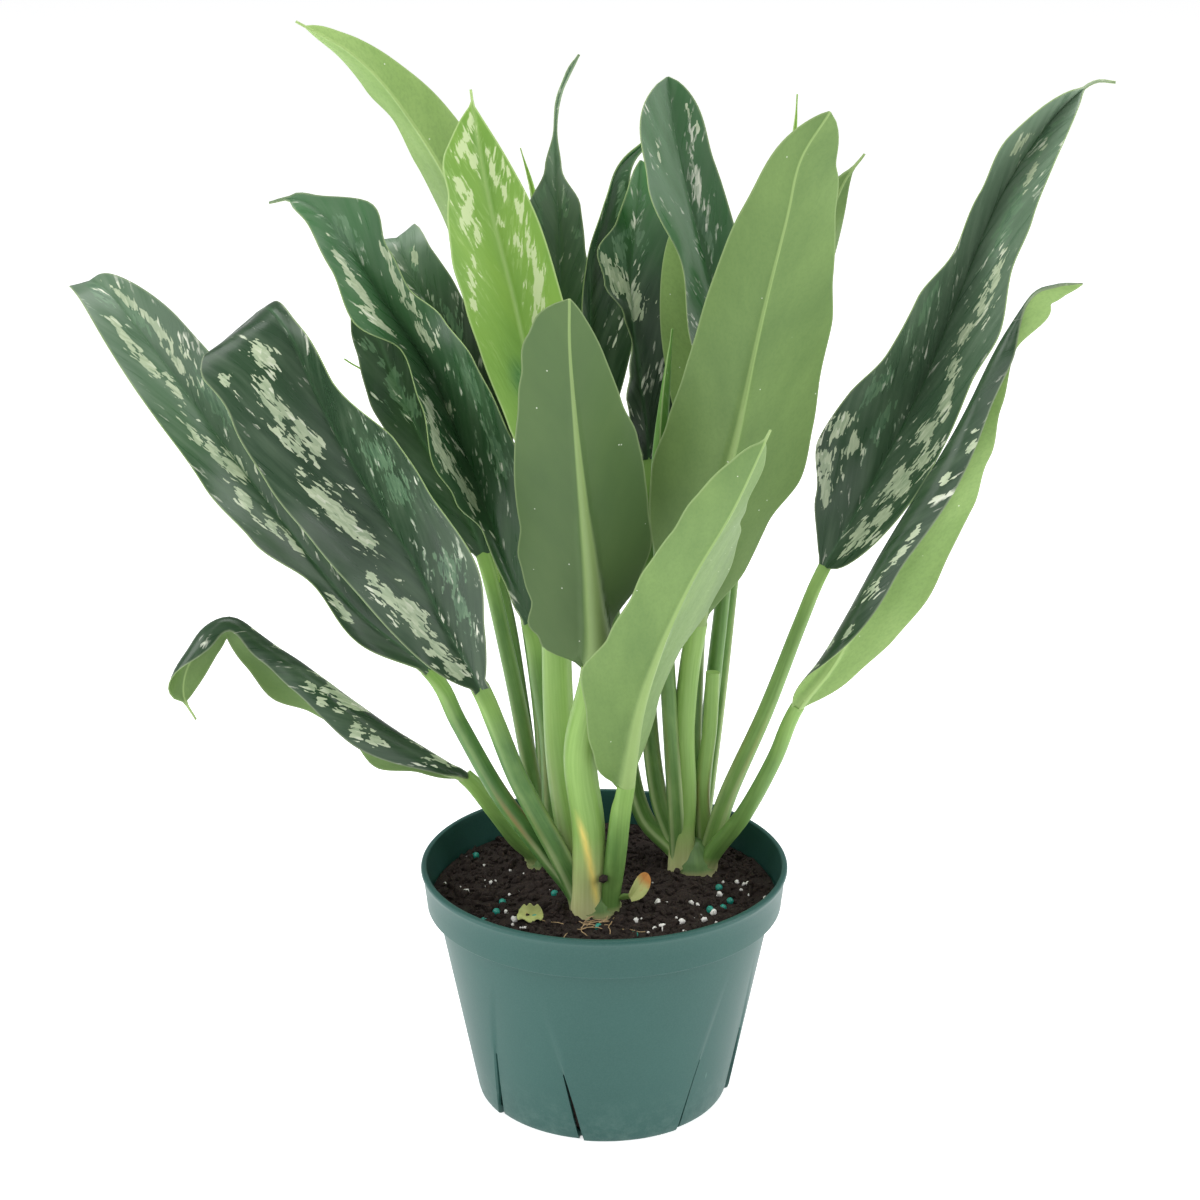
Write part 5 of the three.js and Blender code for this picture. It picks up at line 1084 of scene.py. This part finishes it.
for seed, (name, leaf) in enumerate(ROLLED_LEAVES.items()):
    line, start = whole_line(**leaf)
    tone = ROLL_TONES.get(name, PLAIN_ROLL_TONE)
    shares = np.linspace(start + STALK_TO_BLADE / line.length, 1, ROLL_ROWS)
    t = np.linspace(0, 1, ROLL_ROWS)
    forward = line.forward(shares)
    up = carried(PLAIN_FACE, forward)
    side = np.cross(forward, up)
    radius = (leaf["radius"] * np.maximum(np.minimum(0.8 + t, 1) * (1 - t**2.2), ROLL_TIP))[:, None]
    turn = np.arange(ROLL_SIDES) / ROLL_SIDES
    spiral = 1 - ROLL_LAP * turn
    angles = 2 * np.pi * turn[None] + ROLL_TWIST[0] + ROLL_TWIST[1] * t[:, None]
    points = (line.at(shares)[:, None] + side[:, None] * (radius * spiral * np.cos(angles))[..., None]
              + up[:, None] * (radius * spiral * np.sin(angles))[..., None])
    full = np.ones((ROLL_ROWS, ROLL_SIDES))
    done = full * ((shares - shares[0]) * line.length)[:, None]
    fields = dict(
        veins=[done, radius * angles, full * (seed + 40)], place=[full * NO_RIB, turn * 6.28 * radius, done],
        marks=[full * ROLL_CREAM * tone, full * 0, full * 0], look=[full * tone, full * 0.5, full * 0])
    fields = {key: np.stack(values, -1).reshape(-1, 3) for key, values in fields.items()}
    spear = make_object(name + "_spear", points.reshape(-1, 3), ring_faces(ROLL_ROWS, ROLL_SIDES),
                        [young_skin], fields=fields, sharp=50)
    stand_for(spear, name)
print("rolled leaves:", len(ROLLED_LEAVES))

# %% [markdown]
# ## Pot
# The pot is one thin-walled piece of polypropylene, injection moulded: a tapered wall, a collar band and a
# rolled lip. Four tapered panels are set back a little, and a drain slit opens at each edge of a panel. The
# wall is turned as one closed skin with many columns, and the slits are cut through it with a Boolean.

# %% Pot finish: moulded polypropylene
CLOUDS, GRAIN, DUST = 22.0, 1400.0, 160.0  # cells to a metre, so about 45, 0.7 and 6 mm wide
SCUFFS = (60, 60, 14)  # the same on each axis, about 17 mm wide and 71 mm high
DUST_LINE = 26  # height up to which the dust of the floor clings

plastic, tree, surface = new_material("moulded_green_polypropylene", roughness=0.46, ior=1.38)
where = add(tree, "place").outputs["Object"]
cloud = add(tree, "noise", where, Scale=CLOUDS, Detail=4.0)
grain = add(tree, "noise", where, Scale=GRAIN, Detail=2.0)
dust = add(tree, "noise", where, Scale=DUST, Detail=6.0, Roughness=0.7)
low = add(tree, "range", add(tree, "split", where).outputs["Z"], 0.0, DUST_LINE * MM, 0.2, 0.0)
scuff = add(tree, "cells", add(tree, "stretch", where, SCUFFS))
tone = painted(
    tree, add(tree, "mix", cloud, "#224c47", "#2d5751"),
    (add(tree, "range", grain, 0.35, 0.75, 0.0, 0.25), "#42685f"),
    (add(tree, "math", low, add(tree, "range", dust, 0.45, 0.7), operation="MULTIPLY"), "#7f9a92"),
    (add(tree, "range", scuff.outputs["Distance"], 0.03, 0.06, 0.5, 0.0), "#86a59c"),
)
dress(tree, surface, tone, add(tree, "range", cloud, 0, 1, 0.36, 0.5),
      Strength=0.12, Distance=0.2 * MM, Height=grain)

# %% Pot sizes
POT_HEIGHT = 111
RIM_RADIUS = 82.5
WALL = 1.4
FLOOR_TOP = 2.6
BASE_RADIUS = 57.6
WALL_SLOPE = 0.195
COLLAR_BOTTOM = 92
COLLAR_STEP = 4.4
PANELS = 4
PANEL_AZIMUTH = -32.5  # degrees from the front to the middle of the first panel
PANEL_HALF = (22.5, 9)  # degrees at the foot and at the top
PANEL_TOP = 77
PANEL_SETBACK = 1.5
PANEL_EDGE = 0.9  # degrees over which the wall steps back
PANEL_COLUMNS = (22, 30)  # of points on a panel and between two panels
SLIT_TOP = 36
SLIT_WIDTH = (2.6, 0.7)  # at the foot and at the top


def wall_radius(z):
    return BASE_RADIUS + WALL_SLOPE * z


def panel_half(z):
    return PANEL_HALF[0] + (PANEL_HALF[1] - PANEL_HALF[0]) * min(max(z, 0) / PANEL_TOP, 1)


def polar(radius, degrees, z):
    angle = math.radians(degrees)
    return (radius * math.sin(angle), -radius * math.cos(angle), z)


def pot_columns(z):
    """Azimuths of the columns of points at a height, and how far each is set back."""
    half, quarter = panel_half(z), 360 / PANELS
    setback = PANEL_SETBACK * (1 - min(z / PANEL_TOP, 1))
    columns = []
    for panel in range(PANELS):
        middle = PANEL_AZIMUTH + panel * quarter
        columns += [(middle + share * half, setback) for share in np.linspace(-1, 1, PANEL_COLUMNS[0])]
        start, plain = middle + half + PANEL_EDGE, quarter - 2 * half - 2 * PANEL_EDGE
        columns += [(start + share * plain, 0) for share in np.linspace(0, 1, PANEL_COLUMNS[1])]
    return columns


def rounded(corner, radius, start, end, steps=4):
    """Points of a round edge in the pot's section, as radius and height pairs."""
    angles = np.radians(np.linspace(start, end, steps + 1))
    return [(corner[0] + radius * math.cos(a), corner[1] + radius * math.sin(a)) for a in angles]


# %% Turn the pot and cut its slits
collar = wall_radius(COLLAR_BOTTOM) + COLLAR_STEP
section = [
    (BASE_RADIUS - 1.4, 0), (BASE_RADIUS - 0.5, 0.3), (BASE_RADIUS, 1),
    *[(wall_radius(z), z) for z in (3, 6, 12, 20, 28, SLIT_TOP, 44, 52, 60, 68, PANEL_TOP, 84, 90)],
    (wall_radius(COLLAR_BOTTOM - 0.8), COLLAR_BOTTOM - 0.8),
    (wall_radius(COLLAR_BOTTOM) + 0.5, COLLAR_BOTTOM - 0.1),
    (collar - 0.9, COLLAR_BOTTOM), *rounded((collar - 0.8, COLLAR_BOTTOM + 0.8), 0.8, -60, 0, 3),
    (collar + 0.3, 96), (collar + 0.8, 100), (RIM_RADIUS - 1.2, POT_HEIGHT - 4.6),
    (RIM_RADIUS - 0.8, POT_HEIGHT - 3.7), *rounded((RIM_RADIUS - 1.5, POT_HEIGHT - 1.5), 1.5, -50, 90, 7),
    *rounded((RIM_RADIUS - 2.0, POT_HEIGHT - 0.7), 0.7, 90, 180, 3),
    (RIM_RADIUS - 3.0, POT_HEIGHT - 4), (collar - WALL, COLLAR_BOTTOM + 1.6),
    (wall_radius(COLLAR_BOTTOM) - WALL, COLLAR_BOTTOM - 1.2), (wall_radius(PANEL_TOP) - WALL, PANEL_TOP),
    (wall_radius(48) - WALL, 48), (wall_radius(20) - WALL, 20), (wall_radius(5) - WALL, 5),
    (wall_radius(FLOOR_TOP) - WALL - 2, FLOOR_TOP),
]
rings = [[polar(radius - setback, azimuth, z) for azimuth, setback in pot_columns(z)]
         for radius, z in section]
pot = turned("pot_wall", (0, 0, 0), rings, (0, 0, FLOOR_TOP), plastic)

WEDGE_FACES = [(0, 3, 2, 1), (4, 5, 6, 7), *((k, (k + 1) % 4, 4 + (k + 1) % 4, 4 + k) for k in range(4))]
WEDGE_REACH = 5  # how far a wedge reaches out and in from the wall
cutters = []
for panel, side in [(panel, side) for panel in range(PANELS) for side in (-1, 1)]:
    wedge = []
    for z, width in ((-1, SLIT_WIDTH[0]), (SLIT_TOP, SLIT_WIDTH[1])):
        azimuth = PANEL_AZIMUTH + panel * 360 / PANELS + side * panel_half(z)
        turn = math.degrees(width / 2 / wall_radius(z))
        wedge += [polar(wall_radius(z) + out * WEDGE_REACH, azimuth + way * turn, z)
                  for out, way in ((1, -1), (1, 1), (-1, 1), (-1, -1))]
    cutters.append((wedge, WEDGE_FACES, {}))
slits = make_object("slits", *join_parts(cutters)[:2], [])
cut = pot.modifiers.new("slits", "BOOLEAN")
cut.operation, cut.solver, cut.object = "DIFFERENCE", "EXACT", slits
finished = bpy.data.meshes.new_from_object(pot.evaluated_get(bpy.context.evaluated_depsgraph_get()))
pot.modifiers.clear()
pot.data = finished
bpy.data.objects.remove(slits)
pot.data.polygons.foreach_set("use_smooth", [True] * len(pot.data.polygons))
pot.data.set_sharp_from_angle(angle=math.radians(35))
stand_for(pot, "pot")
print("pot:", len(pot.data.polygons), "faces after the slits were cut")

# %% [markdown]
# ## Soil
# Peat-based potting mix is a crumbly, open surface: dark fibres and bark, white perlite and coated
# fertiliser prills. The body is a turned solid whose top is pushed up and down by noise, and over two
# thousand loose crumbs lie on it, because real relief catches the light in a way that a bump pattern can't.

# %% Soil finishes
CLODS, SPECKS, PORES, COATING, FIBRES = 260.0, 1100.0, 900.0, 500.0, 300.0  # cells of noise to a metre

peat, tree, surface = new_material("damp_peat_mix", roughness=0.9)
where = add(tree, "place").outputs["Object"]
clods = add(tree, "noise", where, Scale=CLODS, Detail=6.0, Roughness=0.7)
specks = add(tree, "noise", where, Scale=SPECKS)
tone = painted(tree, add(tree, "mix", clods, "#0e0906", "#2f2019"),
               (add(tree, "range", specks, 0.6, 0.72, 0.0, 0.5), "#5a4430"))
dress(tree, surface, tone, Strength=0.8, Distance=0.8 * MM, Height=specks)

perlite, tree, surface = new_material("expanded_perlite", roughness=0.85)
pores = add(tree, "noise", add(tree, "place").outputs["Object"], Scale=PORES, Detail=4.0)
dress(tree, surface, add(tree, "mix", pores, "#cfcabf", "#ffffff"),
      Strength=0.6, Distance=0.5 * MM, Height=pores)

coating, tree, surface = new_material("teal_coated_prill", roughness=0.3, ior=1.5)
skin = add(tree, "noise", add(tree, "place").outputs["Object"], Scale=COATING, Detail=2.0)
dress(tree, surface, add(tree, "mix", skin, "#0e6f63", "#2aa08d"))
print("soil finishes:", peat.name, perlite.name, coating.name)

# %% Soil body
SOIL_GAP = 0.75  # from the soil to the pot
SOIL_FOOT = FLOOR_TOP + 0.35
SOIL_COLUMNS = 220
SOIL_RINGS = 62
LUMP_HEIGHT = 0.6
MOUND_HEIGHT = 2.2
MOUND_SPREAD = 500  # square millimetres
CLOD_SIZE, CLOD_HEIGHT = 6.5, 1.1
GRAIN_WIDTH, GRAIN_HEIGHT = 1.9, 0.55
CRUMBLE_DROP = 0.4


def soil_height(x, y):
    """The lumpy top of the potting mix, raised a little round each shoot."""
    lumps = 0.9 * math.sin(x / 5.1 + 1.3 * math.sin(y / 9)) + 0.8 * math.sin(y / 4.3 + 1.1 * math.sin(x / 7))
    mound = sum(MOUND_HEIGHT * math.exp(-((x - sx) ** 2 + (y - sy) ** 2) / MOUND_SPREAD)
                for sx, sy, _ in SHOOTS.values())
    return SOIL_TOP + LUMP_HEIGHT * lumps + mound


def crumbled(x, y):
    """Height of the crumbly surface: the lumpy top with clods and grains of noise."""
    clods = noise.fractal(Vector((x / CLOD_SIZE, y / CLOD_SIZE, 3.1)), 0.9, 2.1, 3)
    grains = noise.noise(Vector((x / GRAIN_WIDTH, y / GRAIN_WIDTH, 9.7)))
    return soil_height(x, y) + CLOD_HEIGHT * clods + GRAIN_HEIGHT * grains - CRUMBLE_DROP


def circle(radius, z):
    """A level ring of points round the middle of the pot."""
    return [polar(radius, i * 360 / SOIL_COLUMNS, z) for i in range(SOIL_COLUMNS)]


def soil_radius(z):
    """Where the side of the soil is, just inside the pot's wall and its set-back panels."""
    return wall_radius(z) - WALL - PANEL_SETBACK * (1 - min(z / PANEL_TOP, 1)) - SOIL_GAP


top_radius = collar - WALL - SOIL_GAP
rings = [
    circle(soil_radius(6) - 4, SOIL_FOOT), circle(soil_radius(6), 6.5),
    circle(soil_radius(PANEL_TOP), PANEL_TOP),
    circle(soil_radius(COLLAR_BOTTOM - 1.2), COLLAR_BOTTOM - 1.2), circle(top_radius, COLLAR_BOTTOM + 2.7),
]
for radius in np.linspace(top_radius - 0.4, 1.2, SOIL_RINGS):
    rings.append([(x, y, crumbled(x, y)) for x, y, _ in circle(radius, 0)])
stand_for(turned("potting_mix", (0, 0, SOIL_FOOT), rings, (0, 0, crumbled(0, 0)), peat), "soil")
print("soil top:", SOIL_RINGS * SOIL_COLUMNS, "points")

# %% Crumbs, perlite and prills
rng = np.random.default_rng(7)
GOLDEN = (1 + 5**0.5) / 2
BALL = np.array([
    (-1, GOLDEN, 0), (1, GOLDEN, 0), (-1, -GOLDEN, 0), (1, -GOLDEN, 0),
    (0, -1, GOLDEN), (0, 1, GOLDEN), (0, -1, -GOLDEN), (0, 1, -GOLDEN),
    (GOLDEN, 0, -1), (GOLDEN, 0, 1), (-GOLDEN, 0, -1), (-GOLDEN, 0, 1),
]) / math.sqrt(1 + GOLDEN**2)
BALL_FACES = [
    (0, 11, 5), (0, 5, 1), (0, 1, 7), (0, 7, 10), (0, 10, 11), (1, 5, 9), (5, 11, 4), (11, 10, 2), (10, 7, 6),
    (7, 1, 8), (3, 9, 4), (3, 4, 2), (3, 2, 6), (3, 6, 8), (3, 8, 9), (4, 9, 5), (2, 4, 11), (6, 2, 10),
    (8, 6, 7), (9, 8, 1),
]


def finer_ball():
    """The ball with every face split in four."""
    points, faces, halves = [tuple(p) for p in BALL], [], {}
    for a, b, c in BALL_FACES:
        mids = []
        for i, j in ((a, b), (b, c), (c, a)):
            key = (min(i, j), max(i, j))
            if key not in halves:
                halves[key] = len(points)
                points.append(tuple(unit(np.array(points[i]) + np.array(points[j]))))
            mids.append(halves[key])
        ab, bc, ca = mids
        faces += [(a, ab, ca), (b, bc, ab), (c, ca, bc), (ab, bc, ca)]
    return np.array(points), faces


FINE_BALL, FINE_FACES = finer_ball()


def lump(centre, size, rough, stretch=(1, 1, 1), fine=False):
    """A grain: a ball with its points pushed in and out at random, stretched and turned."""
    ball, faces = (FINE_BALL, FINE_FACES) if fine else (BALL, BALL_FACES)
    points = ball * (1 + rough * rng.uniform(-1, 1, (len(ball), 1))) * stretch
    w, x, y, z = unit(rng.normal(size=4))
    spin = np.array([[1 - 2 * (y * y + z * z), 2 * (x * y - w * z), 2 * (x * z + w * y)],
                     [2 * (x * y + w * z), 1 - 2 * (x * x + z * z), 2 * (y * z - w * x)],
                     [2 * (x * z - w * y), 2 * (y * z + w * x), 1 - 2 * (x * x + y * y)]])
    return np.asarray(centre) + points @ spin.T * size, faces, {}


def scatter(name, material, grains, smooth=True):
    """Many grains in one mesh, lying in the top of the soil."""
    points, faces, _ = join_parts(grains)
    made = make_object(name, points, faces, [material], smooth=smooth)
    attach(made, "root")


def random_spot(reach):
    angle, far = rng.uniform(0, 2 * math.pi), reach * math.sqrt(rng.uniform(0, 1))
    return far * math.cos(angle), far * math.sin(angle)


CRUMBS = 2400
PEARLS = 90  # of perlite, with the listed ones
BEADS = 20  # prills, with the listed ones
PRILL_RADIUS = 1.75
CLOD = (-0.5, -29.5, 115.5)  # caught between two stalks

crumbs = []
for _ in range(CRUMBS):
    x, y = random_spot(top_radius - 2)
    size = 0.7 + 1.5 * rng.uniform() ** 2
    stretch = (1 + 1.2 * rng.uniform() ** 2, 1, 0.55 + 0.4 * rng.uniform())
    crumbs.append(lump((x, y, crumbled(x, y) + 0.2 * size), size, 0.22, stretch))
crumbs.append(lump(CLOD, 2.2, 0.1))
scatter("peat_crumbs", peat, crumbs, smooth=False)

PERLITE = [(-39.7, -28.9, 1.9), (-34.8, -36.3, 1.6), (34.2, -31.4, 1.9), (44.2, -28.7, 1.6),
    (48.5, -24.8, 1.7), (51.4, -32.8, 1.5), (25.5, -35.7, 1.5), (22.2, -35.3, 1.3), (26.2, -38.7, 1.4),
    (14.0, -31.6, 1.4), (52.0, -4.0, 1.6), (60.3, 7.2, 1.5), (65.4, 5.5, 1.8), (-62.5, 0.6, 1.6),
    (-52.0, 8.0, 1.4), (-66.0, -18.0, 1.3), (39.0, -12.0, 1.4), (24.0, -13.4, 2.0)]
PRILLS = [(-48.0, -23.0), (-36.0, -20.5), (-53.0, -30.0), (-31.0, -28.4), (-2.5, -38.5), (53.0, -17.6),
    (56.5, -9.0), (47.0, -22.6)]
pearls = [(x, y, 0.8 * size) for x, y, size in PERLITE]
for x, y, size in PERLITE:  # chips lie close to the larger grains
    pearls += [(x + rng.normal(0, 3), y + rng.normal(0, 3), rng.uniform(0.35, 0.8)) for _ in range(2)]
while len(pearls) < PEARLS:
    pearls.append((*random_spot(top_radius - 3), rng.uniform(0.35, 1.0)))
scatter("perlite_grains", perlite, [
    lump((x, y, crumbled(x, y) + 0.5 * size), size, 0.22, (1.2, 1, 0.85), fine=True)
    for x, y, size in pearls])
beads = [*PRILLS]
while len(beads) < BEADS:
    beads.append(random_spot(top_radius - 3))
scatter("fertiliser_prills", coating, [
    lump((x, y, crumbled(x, y) + 0.9), PRILL_RADIUS, 0.05, fine=True)
    for x, y in beads])
print("grains:", len(crumbs), "crumbs,", len(pearls), "of perlite,", len(beads), "prills")

# %% Fine roots that lie bare on the soil in front of the plant
root_skin, tree, surface = new_material("dry_root_fibre", roughness=0.8)
shade = add(tree, "noise", add(tree, "place").outputs["Object"], Scale=FIBRES)
dress(tree, surface, add(tree, "mix", shade, "#8a6a48", "#cdb48a"))
ROOTS = 16
ROOT_PLACE = (-8, -37)
ROOT_SPREAD = (7, 3)
ROOT_RADIUS = 0.22
ROOT_STEP, ROOT_STEPS = 2.6, 5
ROOT_ROWS, ROOT_SIDES = 13, 5

roots = []
for _ in range(ROOTS):
    x, y = (middle + rng.normal(0, spread) for middle, spread in zip(ROOT_PLACE, ROOT_SPREAD))
    heading, bend = rng.uniform(0, 2 * math.pi), rng.uniform(-0.5, 0.5)
    spots = []
    for _ in range(ROOT_STEPS):
        spots.append((x, y, crumbled(x, y) + rng.uniform(0.5, 1.6)))
        x, y = x + ROOT_STEP * math.cos(heading), y + ROOT_STEP * math.sin(heading)
        heading += bend
    line = Line(spots)
    shares = np.linspace(0, 1, ROOT_ROWS)
    up = carried((0, 0, 1), line.forward(shares))
    side = np.cross(line.forward(shares), up)
    angles = 2 * np.pi * np.arange(ROOT_SIDES) / ROOT_SIDES
    ring = side[:, None] * np.cos(angles)[:, None] + up[:, None] * np.sin(angles)[:, None]
    points = (line.at(shares)[:, None] + ROOT_RADIUS * ring).reshape(-1, 3)
    roots.append((points, ring_faces(ROOT_ROWS, ROOT_SIDES), {}))
scatter("bare_roots", root_skin, roots)
print("bare roots:", len(roots))

# %% [markdown]
# ## Dry scraps
# Two dead bits lie on the soil: a bract that dried at the foot of the front shoot, which is grown with the
# blades, and a crumpled scrap of leaf. The scrap uses the same grid as a blade, with more folds.

# %% Dry leaf finish
WRINKLE_SIZE = (6, 3, 1)
BURNT_TIP = (7.0, 11.0)  # millimetres along the bract between which it turns orange

papery, tree, surface = new_material("papery_dry_leaf", roughness=0.75)
veins, place, look = read_stored(tree, "place", "look")
shade = add(tree, "noise", sized(tree, veins, WRINKLE_SIZE), Detail=5.0)
tip = add(tree, "range", place["Z"], *BURNT_TIP, 0.0, 0.9)
tone = painted(tree, add(tree, "mix", shade, "#8e9a4c", "#c9cd8c"),
               (add(tree, "range", shade, 0.6, 0.75, 0.0, 0.8), "#b0793a"),
               (add(tree, "math", tip, look["Z"], operation="MULTIPLY"), "#b8742f"))
dress(tree, surface, tone, Strength=0.8, Distance=0.5 * MM, Height=shade)

# %% Dry scrap on the soil
SCRAP_HEIGHT = 96.2 + 0.35 + LEAF_THICKNESS
SCRAP_POINTS = [(-38, -27, SCRAP_HEIGHT), (-33, -29, SCRAP_HEIGHT), (-27, -28, SCRAP_HEIGHT)]
SCRAP_ROWS = 24
SCRAP_SEED = 77

scrap = dict(width=11, widest=0.5, taper=0.8, left=[[50, 75, 60], 30], right=[0, 0], wave=[0.8, 3, 0], drip=0,
             stalk_radius=(0.6, 0.6))
line = Line(SCRAP_POINTS)
shares = np.linspace(0, 1, SCRAP_ROWS)
forward = line.forward(shares)
stations = (line.at(shares), forward, carried((0, 0, 1), forward))
piece = grow_blade("dry_leaf_scrap", scrap, stations, SCRAP_SEED)
stand_for(piece, "dry_leaf_scrap")
for dry in (piece, bpy.data.objects["dry_bract_blade"]):
    dry.data.materials[0] = dry.data.materials[1] = papery
print("dry scraps: 2")
